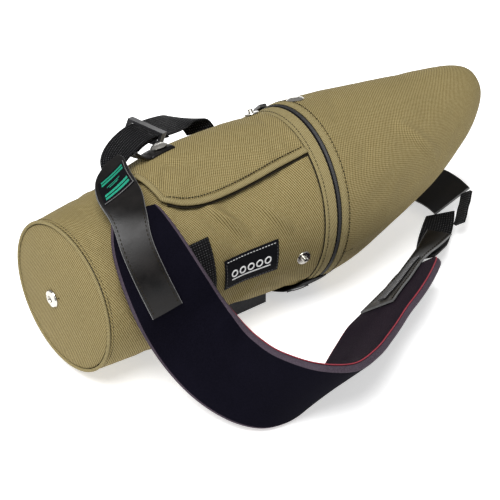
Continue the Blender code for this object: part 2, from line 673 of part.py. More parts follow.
def station(route, t):
    flat = [tuple(c) + tuple(w) for c, w in route]
    v = spline(flat, t)
    a = spline(flat, max(t - 0.004, 0.0))
    b = spline(flat, min(t + 0.004, 1.0))
    c = Vector(v[:3])
    w = Vector(v[3:]).normalized()
    tan = (Vector(b[:3]) - Vector(a[:3])).normalized()
    w = (w - tan * w.dot(tan) * 0.0).normalized()
    n = tan.cross(w).normalized()          # outer side of the band
    return c, w, n


def ribbon(name, route, t0, t1, n, width, offset, thickness, mat, lateral=0.0, cols=1, pivot=None):
    """Flat band: width(u) wide, middle surface 'offset' off the route, closed by Solidify."""
    def point(i, j):
        u = i / n
        c, w, nn = station(route, t0 + (t1 - t0) * u)
        ww = width(u) if callable(width) else width
        side = lateral(u) if callable(lateral) else lateral
        return c + nn * offset + w * (side + ww * (j / cols - 0.5))
    return sheet(name, point, n, cols, mat, thickness, 0.0, False,
                 lambda i, j: station(route, t0 + (t1 - t0) * i / n)[2], pivot=pivot)


def pad_width(u):
    """Pad width along its length: wide over the shoulder, tapering at both ends."""
    if u < 0.5:
        side, e0, e = PAD_LEFT, 34.0, min(u / 0.22, 1.0)
        k = 0.5 - 0.5 * math.cos(math.pi * min(max((u - 0.12) / 0.38, 0.0), 1.0))
    else:
        side, e0, e = PAD_RIGHT, 40.0, min((1.0 - u) / 0.12, 1.0)
        k = 0.5 + 0.5 * math.cos(math.pi * min(max((u - 0.5) / 0.35, 0.0), 1.0))
    return e0 + (side + (PAD_MID - side) * k - e0) * math.sin(e * math.pi / 2) ** 0.8


def tab_t(u):
    """Route parameter of the left leather tab for a station index u of the band."""
    return (u + 1.0) / 9.0


LEATHER_W = [(0.0, 22.0), (0.05, 32.0), (0.16, 39.0), (0.32, 39.0), (0.46, 29.0), (0.62, 25.0), (1.0, 25.0)]
LEATHER_LAT = [(0.0, -4.0), (0.3, -5.0), (0.5, -5.5), (0.7, -7.0), (1.0, -7.5)]


LEFT_ANCHOR = (190.0, 76.0, 86.0)
RIGHT_ANCHOR = (198.0, 74.0, 30.0)
swing_pivot = LEFT_ANCHOR
ribbon("strap_pad", BAND, 0.085, 1.0, 40, pad_width, 0.65, PAD_CORE, NEOPRENE, pivot=swing_pivot)
ribbon("strap_pad_lining", BAND, 0.085, 1.0, 40, lambda u: pad_width(u) - 0.6, -3.35, PAD_LINING, NEOPRENE_IN,
       pivot=swing_pivot)
ribbon("strap_leather_left", TAB_LEFT, tab_t(-1.0), tab_t(5.2), 20, lambda u: curve_value(LEATHER_W, u), 5.4, 1.8,
       LEATHER, lateral=lambda u: curve_value(LEATHER_LAT, u), pivot=swing_pivot)
TAB_END = BAND[14:] + [((299.0, -69.5, 18.5), (0.50, -0.78, 0.36)), ((316.0, -58.5, 18.5), (0.55, -0.82, 0.02))]
ribbon("strap_leather_right", TAB_END, 0.40, 1.0, 12,
       lambda u: curve_value([(0.0, 33.0), (0.25, 27.0), (0.5, 21.0), (1.0, 20.0)], u), -5.7, 1.8, LEATHER,
       lateral=lambda u: curve_value([(0.0, -8.5), (0.2, -8.0), (0.35, -5.0), (0.5, -2.5), (0.7, -1.0), (1.0, 0.0)], u),
       pivot=swing_pivot)
ribbon("strap_inlay_right", TAB_END, 0.45, 0.75, 6, 7.0, -7.8, 1.0, WEBBING,
       lateral=lambda u: curve_value([(0.0, -7.5), (0.5, -5.0), (1.0, -1.5)], u), pivot=swing_pivot)
ribbon("strap_label", TAB_LEFT, tab_t(-0.12), tab_t(0.95), 5, 33.0, 7.2, 0.8, LABEL, lateral=-4.5, pivot=swing_pivot)

WEB_LEFT = [((63, 20, 141.8), (0.93, 0.30, -0.10)), ((73, 33, 142.8), (0.85, -0.25, -0.12)),
            ((92.5, 46.9, 141.0), (0.55, -0.75, -0.08)), ((112.6, 58.5, 136.0), (0.45, -0.84, -0.14)),
            ((127, 65, 130.0), (0.42, -0.85, -0.20)), ((141.4, 71.5, 124.0), (0.40, -0.85, -0.25)),
            ((158, 80, 116.5), (0.45, -0.85, -0.20)), ((173, 88, 110.0), (0.60, -0.78, 0.0)),
            ((186, 90, 101.0), (0.85, -0.50, 0.10)), ((190, 85, 92.5), (0.95, -0.30, 0.05))]
WEB_RIGHT = [((286, -75, 19.5), (0.09, -0.79, 0.60)), ((302, -63, 17), (0.30, -0.86, 0.25)),
             ((320, -48, 12.5), (0.52, -0.80, -0.20)), ((337, -33, 10.5), (0.78, -0.55, -0.10)),
             ((349, -21, 11.0), (0.93, -0.30, 0.15))]
TAB_RIGHT = [((359, -23, 16.5), (0.92, -0.08, 0.38)), ((361, -9, 16.0), (0.90, 0.05, 0.42)),
             ((360, 7, 15.0), (0.88, 0.20, 0.40)), ((353, 26.5, 12.0), (0.80, 0.50, 0.25)),
             ((336, 46, 7.0), (0.62, 0.78, 0.05)), ((308, 60, 4.2), (0.35, 0.93, 0.0)),
             ((270, 68, 4.2), (0.14, 0.99, 0.0)), ((236, 73, 5.0), (0.05, 0.99, 0.08)),
             ((214, 76, 9.5), (0.00, 0.93, 0.35)), ((203, 76, 17.0), (-0.45, 0.80, 0.35)),
             ((199, 74.5, 24.5), (-0.95, 0.20, 0.20))]
WEB_W = 24.0


def web(name, route, t0, t1, n, width, offset, thickness, mat, lateral=0.0, pivot=swing_pivot):
    return ribbon(name, route, t0, t1, n, width, offset, thickness, mat, lateral=lateral, pivot=pivot)


web("strap_webbing_left", WEB_LEFT, 0.0, 1.0, 30, WEB_W, 0.0, 1.5, WEBBING)
web("strap_tail_left", WEB_LEFT, 0.16, 0.52, 12, WEB_W, 1.95, 1.5, WEBBING)
web("strap_webbing_right", WEB_RIGHT, 0.05, 0.90, 14, WEB_W, 0.0, 1.5, WEBBING)
web("strap_tab_right", TAB_RIGHT, 0.0, 0.955, 34, lambda u: 36.0 - 12.0 * min(1.0, max(0.0, (u - 0.2) / 0.5)), 0.0, 2.0,
    LEATHER)
TAIL_RIGHT = [((366.5, -31.5, 26.0), (0.0, -0.75, 0.66)), ((359.5, -37.5, 23.5), (0.0, -0.75, 0.66)),
              ((351.5, -44.0, 20.5), (0.0, -0.75, 0.66)), ((342.5, -51.5, 17.5), (0.0, -0.75, 0.66))]
web("strap_tail_right", TAIL_RIGHT, 0.0, 1.0, 8, 15.0, 0.0, 2.6, WEBBING)


def loop_frame(name, route, t, inner_w, inner_h, wall, length, mat, offset=0.0, lateral=0.0, pivot=swing_pivot):
    """Rectangular keeper round the webbing: a flat outline with a hole, extruded."""
    c, w, n = station(route, t)
    c = c + n * offset + w * lateral
    tan = w.cross(n).normalized()
    cu = bpy.data.curves.new(name, 'CURVE')
    cu.dimensions = '2D'
    cu.fill_mode = 'BOTH'
    cu.extrude = length * 0.5 * MM
    for hw, hh in ((inner_w / 2 + wall, inner_h / 2 + wall), (inner_w / 2, inner_h / 2)):
        sp = cu.splines.new('POLY')
        sp.points.add(3)
        for p, (x, y) in zip(sp.points, ((-hw, -hh), (hw, -hh), (hw, hh), (-hw, hh))):
            p.co = (x * MM, y * MM, 0.0, 1.0)
        sp.use_cyclic_u = True
    cu.materials.append(material(*mat))
    ob = bpy.data.objects.new(name, cu)
    PARTS.objects.link(ob)
    ob.parent = ROOT
    n2 = tan.cross(w).normalized()
    ob.matrix_world = Matrix.Translation(world(c)) @ Matrix((w, n2, tan)).transposed().to_4x4()
    return c, tan


GLIDE_L = loop_frame("strap_glide_left", WEB_LEFT, 3.6 / 9.0, 26.0, 7.4, 2.0, 9.0, PLASTIC, offset=0.95)


def ring_path(centre, bar, out, length, height, corner=3.0, steps=3):
    b, o = Vector(bar).normalized(), Vector(out)
    o = (o - b * o.dot(b)).normalized()
    pts = []
    for sx, sy, a0 in ((1, 1, 0), (-1, 1, 90), (-1, -1, 180), (1, -1, 270)):
        cx, cy = sx * (length / 2 - corner), sy * (height / 2 - corner)
        for k in range(steps + 1):
            a = math.radians(a0 + 90.0 * k / steps)
            pts.append(Vector(centre) + b * (cx + corner * math.cos(a)) + o * (cy + corner * math.sin(a)))
    return pts


tube("anchor_ring_left", ring_path((190.5, 77.0, 85.0), (0.97, -0.2, 0.05), (-0.1, 0.55, 0.83), 33.0, 12.5), 1.7,
     PLASTIC, res=1, cyclic=True)
tube("anchor_ring_right", ring_path((199.0, 72.5, 31.5), (0.98, -0.1, 0.0), (0.0, 0.35, -0.93), 33.0, 12.5), 1.7,
     PLASTIC, res=1, cyclic=True)
patch("anchor_tab_left", 178.0, 198.0, 170.5, 196.0, case_r, 0.6, LEATHER, 2.0, ns=2, nt=4)
patch("anchor_tab_right", 180.0, 198.0, 205.0, 222.0, case_r, 0.6, LEATHER, 2.0, ns=2, nt=4)
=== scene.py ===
"""Looks of the telescope carry case: fabric shells, padded strap, webbing, leather, stitching, materials, light and camera."""
import json
import math

import bpy
import numpy as np
from mathutils import Matrix, Vector, noise


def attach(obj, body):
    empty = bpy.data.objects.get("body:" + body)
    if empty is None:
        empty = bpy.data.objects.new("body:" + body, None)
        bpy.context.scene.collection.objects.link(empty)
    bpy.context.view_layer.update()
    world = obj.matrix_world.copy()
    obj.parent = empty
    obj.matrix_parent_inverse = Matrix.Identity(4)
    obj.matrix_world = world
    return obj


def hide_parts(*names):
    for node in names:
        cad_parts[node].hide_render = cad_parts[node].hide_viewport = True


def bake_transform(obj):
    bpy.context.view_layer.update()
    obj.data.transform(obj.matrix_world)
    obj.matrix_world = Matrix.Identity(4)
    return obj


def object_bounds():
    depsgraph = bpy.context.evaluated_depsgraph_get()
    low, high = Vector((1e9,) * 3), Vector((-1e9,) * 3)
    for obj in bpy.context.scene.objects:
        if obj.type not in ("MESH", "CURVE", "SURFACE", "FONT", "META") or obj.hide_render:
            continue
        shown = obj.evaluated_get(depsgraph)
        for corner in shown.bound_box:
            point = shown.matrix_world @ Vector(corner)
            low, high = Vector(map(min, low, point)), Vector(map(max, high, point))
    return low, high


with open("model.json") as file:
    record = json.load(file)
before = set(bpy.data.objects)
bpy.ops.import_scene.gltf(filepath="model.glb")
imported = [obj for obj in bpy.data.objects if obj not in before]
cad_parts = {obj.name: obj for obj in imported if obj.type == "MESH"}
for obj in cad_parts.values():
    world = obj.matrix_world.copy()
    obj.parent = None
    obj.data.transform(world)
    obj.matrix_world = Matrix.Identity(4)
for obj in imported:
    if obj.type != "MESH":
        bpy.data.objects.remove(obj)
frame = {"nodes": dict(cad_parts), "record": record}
CAD_LO, CAD_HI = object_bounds()
NODES = frame["nodes"]
SLOTS = [m.get("slot") for m in frame["record"].get("materials", [])]
MM = 0.001

ORIGIN = (194.6282, -47.0389, 0.0)

AXIS_Z0, AXIS_RISE = 66.0, 6.0 / 211.5
RING_S = 212.7                     # plane of the hood zip
RING_TILT_UP, RING_TILT_SIDE = 7.0, 5.0

CAP_PROFILE = [(2.2, 59.1), (28.0, 61.2), (54.0, 63.4)]
CASE_PROFILE = [(60.6, 62.2), (90.0, 59.2), (123.0, 57.7), (142.0, 59.5),
                (160.0, 61.6), (190.0, 65.3), (205.0, 66.9), (213.0, 67.8)]
HOOD_PROFILE = [(214.0, 68.3), (224.0, 68.4), (245.0, 65.4), (270.0, 59.9),
                (300.0, 52.6), (330.0, 44.8), (355.0, 36.0), (372.0, 28.9),
                (385.0, 20.7), (392.0, 13.9), (396.0, 6.5)]
HOOD_LIFT = [(214.0, 0.0), (245.0, -0.3), (270.0, 1.8), (300.0, 4.6),
             (330.0, 7.4), (355.0, 12.9), (372.0, 17.4), (385.0, 21.8),
             (392.0, 24.1), (396.0, 24.4)]

BUMP_CENTRE, BUMP_HALF = 118.0, 62.0        # the raised top over the focus drum
BUMP_HEIGHT = [(62.0, 0.0), (84.0, 3.5), (104.0, 8.0), (124.0, 9.0),
               (145.0, 6.5), (164.0, 3.5), (178.0, 1.2), (196.0, 0.0),
               (214.0, 0.0)]


WINDOW = (104.0, 190.0, 72.0, 108.0)        # access window: s0, s1, theta0, theta1
PORT = (112.0, 160.0, -108.0, -72.0)        # tripod-foot port

FLAP_FOLD = 107.0
FLAP_FAR = 168.0
FLAP_EDGE = [(80.0, 72.0), (90.0, 65.5), (106.0, 61.2), (128.0, 60.0),
             (150.0, 60.2), (175.0, 61.4), (198.5, 62.2)]
FLAP_T = [(80.0, 4.6), (165.0, 4.6), (180.0, 3.4), (198.5, 1.3)]

HINGE_HOOD_THETA, HINGE_CAP_THETA = 158.0, 180.0
CAP_JOINT_S = 57.3


def curve_value(table, x):
    """Smooth value of a table of (x, y) points, flat slope outside its ends."""
    if x <= table[0][0]:
        return table[0][1]
    if x >= table[-1][0]:
        return table[-1][1]
    slopes = []
    for i in range(len(table)):
        a, b = max(i - 1, 0), min(i + 1, len(table) - 1)
        slopes.append((table[b][1] - table[a][1]) / (table[b][0] - table[a][0]))
    for i in range(len(table) - 1):
        x0, y0 = table[i]
        x1, y1 = table[i + 1]
        if x <= x1:
            h = x1 - x0
            t = (x - x0) / h
            return ((2 * t ** 3 - 3 * t ** 2 + 1) * y0 + (t ** 3 - 2 * t ** 2 + t) * h * slopes[i]
                    + (-2 * t ** 3 + 3 * t ** 2) * y1 + (t ** 3 - t ** 2) * h * slopes[i + 1])
    return table[-1][1]


def spline(points, t):
    """Catmull-Rom point at t in 0..1 through a list of tuples of equal length."""
    n = len(points) - 1
    u = min(max(t, 0.0), 1.0) * n
    i = min(int(u), n - 1)
    f = u - i
    p0 = points[max(i - 1, 0)]
    p1, p2 = points[i], points[i + 1]
    p3 = points[min(i + 2, n)]
    return tuple(0.5 * (2 * b + (c - a) * f + (2 * a - 5 * b + 4 * c - d) * f ** 2
                        + (3 * b - a - 3 * c + d) * f ** 3)
                 for a, b, c, d in zip(p0, p1, p2, p3))


def tilt(s):
    if s <= 60.0:
        return 0.0
    if s <= RING_S:
        return (s - 60.0) / (RING_S - 60.0)
    return max(0.0, 1.0 - (s - RING_S) / (396.0 - RING_S))


def section(s):
    """Centre and the two in-plane axes (theta = 0 and theta = 90) of a section."""
    k = tilt(s)
    up, side = math.radians(RING_TILT_UP * k), math.radians(RING_TILT_SIDE * k)
    centre = Vector((s, 0.0, AXIS_Z0 + AXIS_RISE * s + curve_value(HOOD_LIFT, s)
                     if s > 214.0 else AXIS_Z0 + AXIS_RISE * s))
    e1 = Vector((-math.sin(side), -math.cos(side), 0.0))
    e2 = Vector((math.sin(up), 0.0, math.cos(up)))
    e2 = (e2 - e1 * e2.dot(e1)).normalized()
    return centre, e1, e2


def on_case(s, theta, r):
    c, e1, e2 = section(s)
    a = math.radians(theta)
    return c + (e1 * math.cos(a) + e2 * math.sin(a)) * r


def radial(s, theta):
    c, e1, e2 = section(s)
    a = math.radians(theta)
    return (e1 * math.cos(a) + e2 * math.sin(a)).normalized()


def bump(s, theta):
    d = abs((theta - BUMP_CENTRE + 180.0) % 360.0 - 180.0)
    if d >= BUMP_HALF:
        return 0.0
    return curve_value(BUMP_HEIGHT, s) * 0.5 * (1.0 + math.cos(math.pi * d / BUMP_HALF))


def case_r(s, theta):
    return curve_value(CASE_PROFILE, s) + bump(s, theta)


def cap_r(s, theta=0.0):
    return curve_value(CAP_PROFILE, s)


def hood_r(s, theta=0.0):
    return curve_value(HOOD_PROFILE, s)



def flap_t(s):
    return curve_value(FLAP_T, s)



def top_r(s, t):
    return case_r(s, t) + 1.2 + flap_t(s)



def surface_normal(rfun, s, theta):
    a = on_case(s + 3.0, theta, rfun(s + 3.0, theta)) - on_case(s - 3.0, theta, rfun(s - 3.0, theta))
    b = on_case(s, theta + 3.0, rfun(s, theta + 3.0)) - on_case(s, theta - 3.0, rfun(s, theta - 3.0))
    n = a.cross(b).normalized()
    return n if n.dot(radial(s, theta)) > 0.0 else -n



BAND = [((59.6, 11.0, 140.5), (0.985, 0.138, -0.100)), ((51.5, -16.1, 139.8), (0.969, -0.244, 0.040)),
        ((44.5, -35.6, 135.9), (0.895, -0.404, 0.190)), ((40.7, -49.8, 126.5), (0.890, -0.366, 0.271)),
        ((40.8, -64.4, 109.8), (0.913, -0.272, 0.304)), ((46.2, -74.0, 88.3), (0.893, -0.261, 0.366)),
        ((54.3, -78.8, 67.5), (0.811, -0.330, 0.484)), ((59.5, -91.3, 52.4), (0.678, -0.285, 0.678)),
        ((61.9, -112.3, 45.0), (0.495, -0.122, 0.861)), ((65.6, -135.3, 42.2), (0.277, -0.037, 0.960)),
        ((74.4, -155.0, 39.8), (0.105, -0.166, 0.981)), ((93.2, -167.5, 35.8), (0.089, -0.411, 0.907)),
        ((118.4, -169.0, 31.1), (0.232, -0.580, 0.781)), ((144.0, -158.2, 28.4), (0.384, -0.611, 0.693)),
        ((167.1, -143.9, 26.4), (0.454, -0.633, 0.627)), ((186.5, -131.3, 24.6), (0.456, -0.669, 0.587)),
        ((204.7, -120.2, 23.8), (0.417, -0.706, 0.573)), ((225.6, -110.0, 22.3), (0.390, -0.699, 0.599)),
        ((250.0, -97.2, 21.0), (0.412, -0.670, 0.617)), ((276.7, -80.8, 19.0), (0.466, -0.649, 0.601))]
# The leather tab runs on past the pad's end, up to the webbing.
TAB_LEFT = [((69.0, 30.0, 141.0), (0.90, 0.42, -0.12))] + BAND[:9]
PAD_LEFT, PAD_MID, PAD_RIGHT = 61.6, 73.7, 58.8
PAD_CORE, PAD_LINING = 5.8, 1.0


def station(route, t):
    flat = [tuple(c) + tuple(w) for c, w in route]
    v = spline(flat, t)
    a = spline(flat, max(t - 0.004, 0.0))
    b = spline(flat, min(t + 0.004, 1.0))
    c = Vector(v[:3])
    w = Vector(v[3:]).normalized()
    tan = (Vector(b[:3]) - Vector(a[:3])).normalized()
    w = (w - tan * w.dot(tan) * 0.0).normalized()
    n = tan.cross(w).normalized()          # outer side of the band
    return c, w, n



def pad_width(u):
    """Pad width along its length: wide over the shoulder, tapering at both ends."""
    if u < 0.5:
        side, e0, e = PAD_LEFT, 34.0, min(u / 0.22, 1.0)
        k = 0.5 - 0.5 * math.cos(math.pi * min(max((u - 0.12) / 0.38, 0.0), 1.0))
    else:
        side, e0, e = PAD_RIGHT, 40.0, min((1.0 - u) / 0.12, 1.0)
        k = 0.5 + 0.5 * math.cos(math.pi * min(max((u - 0.5) / 0.35, 0.0), 1.0))
    return e0 + (side + (PAD_MID - side) * k - e0) * math.sin(e * math.pi / 2) ** 0.8


def tab_t(u):
    """Route parameter of the left leather tab for a station index u of the band."""
    return (u + 1.0) / 9.0


LEATHER_W = [(0.0, 22.0), (0.05, 32.0), (0.16, 39.0), (0.32, 39.0), (0.46, 29.0), (0.62, 25.0), (1.0, 25.0)]
LEATHER_LAT = [(0.0, -4.0), (0.3, -5.0), (0.5, -5.5), (0.7, -7.0), (1.0, -7.5)]



TAB_END = BAND[14:] + [((299.0, -69.5, 18.5), (0.50, -0.78, 0.36)), ((316.0, -58.5, 18.5), (0.55, -0.82, 0.02))]

WEB_LEFT = [((63, 20, 141.8), (0.93, 0.30, -0.10)), ((73, 33, 142.8), (0.85, -0.25, -0.12)),
            ((92.5, 46.9, 141.0), (0.55, -0.75, -0.08)), ((112.6, 58.5, 136.0), (0.45, -0.84, -0.14)),
            ((127, 65, 130.0), (0.42, -0.85, -0.20)), ((141.4, 71.5, 124.0), (0.40, -0.85, -0.25)),
            ((158, 80, 116.5), (0.45, -0.85, -0.20)), ((173, 88, 110.0), (0.60, -0.78, 0.0)),
            ((186, 90, 101.0), (0.85, -0.50, 0.10)), ((190, 85, 92.5), (0.95, -0.30, 0.05))]
WEB_RIGHT = [((286, -75, 19.5), (0.09, -0.79, 0.60)), ((302, -63, 17), (0.30, -0.86, 0.25)),
             ((320, -48, 12.5), (0.52, -0.80, -0.20)), ((337, -33, 10.5), (0.78, -0.55, -0.10)),
             ((349, -21, 11.0), (0.93, -0.30, 0.15))]
TAB_RIGHT = [((359, -23, 16.5), (0.92, -0.08, 0.38)), ((361, -9, 16.0), (0.90, 0.05, 0.42)),
             ((360, 7, 15.0), (0.88, 0.20, 0.40)), ((353, 26.5, 12.0), (0.80, 0.50, 0.25)),
             ((336, 46, 7.0), (0.62, 0.78, 0.05)), ((308, 60, 4.2), (0.35, 0.93, 0.0)),
             ((270, 68, 4.2), (0.14, 0.99, 0.0)), ((236, 73, 5.0), (0.05, 0.99, 0.08)),
             ((214, 76, 9.5), (0.00, 0.93, 0.35)), ((203, 76, 17.0), (-0.45, 0.80, 0.35)),
             ((199, 74.5, 24.5), (-0.95, 0.20, 0.20))]
WEB_W = 24.0



TAIL_RIGHT = [((366.5, -31.5, 26.0), (0.0, -0.75, 0.66)), ((359.5, -37.5, 23.5), (0.0, -0.75, 0.66)),
              ((351.5, -44.0, 20.5), (0.0, -0.75, 0.66)), ((342.5, -51.5, 17.5), (0.0, -0.75, 0.66))]


# ------------------------------------------------------------------ mesh tools
O3 = np.array(ORIGIN, float)
MATS = {}


def wpt(p):
    return (np.asarray(p, float) - O3) * MM


def new_object(name, verts, faces, uvs, mats, body, mat_ids=None, smooth=True, sharp=None):
    used = sorted({v for f in faces for v in f})
    remap = {v: k for k, v in enumerate(used)}
    me = bpy.data.meshes.new(name)
    me.from_pydata([tuple(verts[v]) for v in used], [], [[remap[v] for v in f] for f in faces])
    if uvs is not None:
        lay = me.uv_layers.new(name="UVMap")
        lay.data.foreach_set("uv", np.asarray(uvs, np.float32).ravel())
    for m in (mats if isinstance(mats, (list, tuple)) else [mats]):
        me.materials.append(MATS[m])
    if mat_ids is not None:
        me.polygons.foreach_set("material_index", np.asarray(mat_ids, np.int32))
    if smooth:
        me.shade_smooth()
        if sharp:
            me.set_sharp_from_angle(angle=math.radians(sharp))
    me.update()
    ob = bpy.data.objects.new(name, me)
    bpy.context.scene.collection.objects.link(ob)
    if body:
        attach(ob, body)
    return ob


def grid(name, P, UV, mats, body, wrap=False, skip=None, outward=None, tip=None, ride=True):
    """P: rows x cols x 3 in design mm; UV in mm, one column more than P when it wraps."""
    P = np.asarray(P, float)
    rows, cols = P.shape[:2]
    nv = cols if wrap else cols - 1
    W = wpt(P)
    faces, uvs = [], []
    a, b, c = W[0, 0], W[0, 1], W[1, 0]
    flip = outward is not None and np.dot(np.cross(b - a, c - a), np.asarray(outward, float)) < 0
    for i in range(rows - 1):
        for j in range(nv):
            if skip is not None and skip(i, j):
                continue
            k = (j + 1) % cols
            f = [i * cols + j, i * cols + k, (i + 1) * cols + k, (i + 1) * cols + j]
            u = [UV[i][j], UV[i][j + 1], UV[i + 1][j + 1], UV[i + 1][j]]
            if flip:
                f.reverse()
                u.reverse()
            faces.append(f)
            uvs.extend(u)
    verts = list(W.reshape(-1, 3))
    if tip is not None:
        verts.append(wpt(tip))
        t = len(verts) - 1
        for j in range(nv):
            k = (j + 1) % cols
            f = [(rows - 1) * cols + j, (rows - 1) * cols + k, t]
            u = [UV[-1][j], UV[-1][j + 1], (UV[-1][j][0] + 6.0, UV[-1][j][1])]
            if flip:
                f.reverse()
                u.reverse()
            faces.append(f)
            uvs.extend(u)
    return new_object(name, verts, faces, np.array(uvs) * 0.01, mats, body if ride else None)


def thicken(ob, mm, offset=-1.0):
    m = ob.modifiers.new("thickness", 'SOLIDIFY')
    m.thickness = mm * MM
    m.offset = offset
    return ob


def subdivide(ob, levels=1):
    m = ob.modifiers.new("smooth", 'SUBSURF')
    m.levels = m.render_levels = levels
    m.boundary_smooth = 'PRESERVE_CORNERS'
    return ob


def relax(ob, pins, pressure=0.8, slack=0.015, cap=1.2, frames=14, bend=0.6):
    """Cloth simulation of a sewn panel: seams pinned, cut a little full, lightly puffed."""
    sc = bpy.context.scene
    me = ob.data
    n = len(me.vertices)
    rest = np.zeros(n * 3)
    me.vertices.foreach_get("co", rest)
    rest = rest.reshape(-1, 3)
    vg = ob.vertex_groups.new(name="pin")
    vg.add([int(p) for p in pins], 1.0, 'REPLACE')
    m = ob.modifiers.new("Cloth", 'CLOTH')
    st = m.settings
    st.quality = 4
    st.mass = 0.25
    st.tension_stiffness = st.compression_stiffness = 18.0
    st.shear_stiffness = 8.0
    st.bending_stiffness = bend
    st.vertex_group_mass = "pin"
    st.shrink_min = -slack
    st.use_pressure = True
    st.uniform_pressure_force = pressure
    st.effector_weights.gravity = 0.0
    m.collision_settings.use_collision = False
    m.collision_settings.use_self_collision = False
    m.point_cache.frame_start = 1
    m.point_cache.frame_end = frames
    for f in range(1, frames + 1):
        sc.frame_set(f)
    deps = bpy.context.evaluated_depsgraph_get()
    ev = ob.evaluated_get(deps).data
    now = np.zeros(n * 3)
    ev.vertices.foreach_get("co", now)
    now = now.reshape(-1, 3)
    d = now - rest
    if not np.isfinite(d).all():
        d[:] = 0.0
    L = np.linalg.norm(d, axis=1, keepdims=True)
    lim = cap * MM
    d = d * np.where(L > 1e-9, lim * np.tanh(L / lim) / np.maximum(L, 1e-9), 0.0)
    ob.modifiers.remove(m)
    sc.frame_set(1)
    me.vertices.foreach_set("co", (rest + d).ravel())
    me.update()
    print("RELAX", ob.name, n, round(float(L.max()) * 1000, 2), "mm")
    return ob


def border_vertices(me):
    count = {}
    for p in me.polygons:
        for k in p.edge_keys:
            count[k] = count.get(k, 0) + 1
    out = set()
    for k, c in count.items():
        if c == 1:
            out.update(k)
    return out


def loft(name, rings, uvs, mats, body, ids=None, caps=True, sharp=40, closed_u=False, cap_id=0):
    """Closed cross-sections joined into a solid. uvs: rows x (cols + 1) in mm."""
    R = np.asarray(rings, float)
    rows, cols = R.shape[:2]
    W = wpt(R)
    # outward test on the middle section
    m = rows // 2
    ctr = W[m].mean(axis=0)
    axis = (W[(m + 1) % rows] - W[m - 1]).mean(axis=0)
    area = sum(np.cross(W[m, k] - ctr, W[m, (k + 1) % cols] - ctr) for k in range(cols))
    flip = float(np.dot(area, axis)) < 0
    faces, fu, mi = [], [], []
    last = rows if closed_u else rows - 1
    for i in range(last):
        i2 = (i + 1) % rows
        for j in range(cols):
            k = (j + 1) % cols
            f = [i * cols + j, i * cols + k, i2 * cols + k, i2 * cols + j]
            u = [uvs[i][j], uvs[i][j + 1], uvs[i2][j + 1], uvs[i2][j]]
            if flip:
                f.reverse()
                u.reverse()
            faces.append(f)
            fu.extend(u)
            mi.append(ids[j] if ids is not None else 0)
    if caps and not closed_u:
        for i, rev in ((0, not flip), (rows - 1, flip)):
            f = [i * cols + j for j in range(cols)]
            u = [uvs[i][j] for j in range(cols)]
            if rev:
                f.reverse()
                u.reverse()
            faces.append(f)
            fu.extend(u)
            mi.append(cap_id)
    return new_object(name, list(W.reshape(-1, 3)), faces, np.array(fu) * 0.01, mats, body, mi, sharp=sharp)


def band(name, route, t0, t1, n, width, offset, thick, mats, body, lateral=0.0, cols=8, edge=0.6, crown=0.0,
         ids=(0, 1, 0), sharp=50, wave=None, sag=0.0):
    """Webbing, leather or padding along a route: flat section with rounded edges.
    ids: material of the outer face, the edges and the inner face."""
    rings, uvs = [], []
    h = thick / 2.0
    e = min(edge, h)
    ln = 0.0
    prev = None
    seg_ids = None
    for i in range(n + 1):
        u = i / n
        c, w, nn = station(route, t0 + (t1 - t0) * u)
        ww = width(u) if callable(width) else width
        side = lateral(u) if callable(lateral) else lateral
        hw = ww / 2.0
        pts, kinds = [], []
        for k in range(cols + 1):                      # outer face
            x = -hw + e + (ww - 2 * e) * k / cols
            q = 2 * k / cols - 1
            pts.append((x, h + crown * (1 - q * q)))
            kinds.append(0)
        for k in range(1, 4):
            a = math.pi / 2 * (1 - k / 4)
            pts.append((hw - e + e * math.cos(a), h - e + e * math.sin(a)))
            kinds.append(1)
        pts.append((hw, h - e))
        kinds.append(1)
        if h > e + 1e-6:
            pts.append((hw, -h + e))
            kinds.append(1)
        for k in range(1, 4):
            a = -math.pi / 2 * k / 4
            pts.append((hw - e + e * math.cos(a), -h + e + e * math.sin(a)))
            kinds.append(1)
        for k in range(cols + 1):                      # inner face
            x = hw - e - (ww - 2 * e) * k / cols
            q = 2 * k / cols - 1
            pts.append((x, -h - sag * (1 - q * q)))
            kinds.append(2)
        for k in range(1, 4):
            a = -math.pi / 2 - math.pi / 2 * k / 4
            pts.append((-hw + e + e * math.cos(a), -h + e + e * math.sin(a)))
            kinds.append(1)
        pts.append((-hw, -h + e))
        kinds.append(1)
        if h > e + 1e-6:
            pts.append((-hw, h - e))
            kinds.append(1)
        for k in range(1, 4):
            a = math.pi - math.pi / 2 * k / 4
            pts.append((-hw + e + e * math.cos(a), h - e + e * math.sin(a)))
            kinds.append(1)
        ring = []
        for x, y in pts:
            if wave is not None:
                y = y + wave(u, x / hw)
            p = c + nn * (offset + y) + w * (side + x)
            ring.append((p.x, p.y, p.z))
        if prev is not None:
            ln += (c - prev).length
        prev = c
        per = [x for x, _ in pts]
        row = []
        for k, (x, y) in enumerate(pts):
            row.append((ln, x if kinds[k] != 1 else math.copysign(hw, x) + (h - y)))
        row.append(row[0])
        rings.append(ring)
        uvs.append(row)
        if seg_ids is None:
            kk = kinds
            m = len(kk)
            seg_ids = []
            for k in range(m):
                a, b = kk[k], kk[(k + 1) % m]
                seg_ids.append(ids[a] if a == b else ids[1])
    return loft(name, rings, uvs, mats, body, seg_ids, sharp=sharp, cap_id=ids[1])


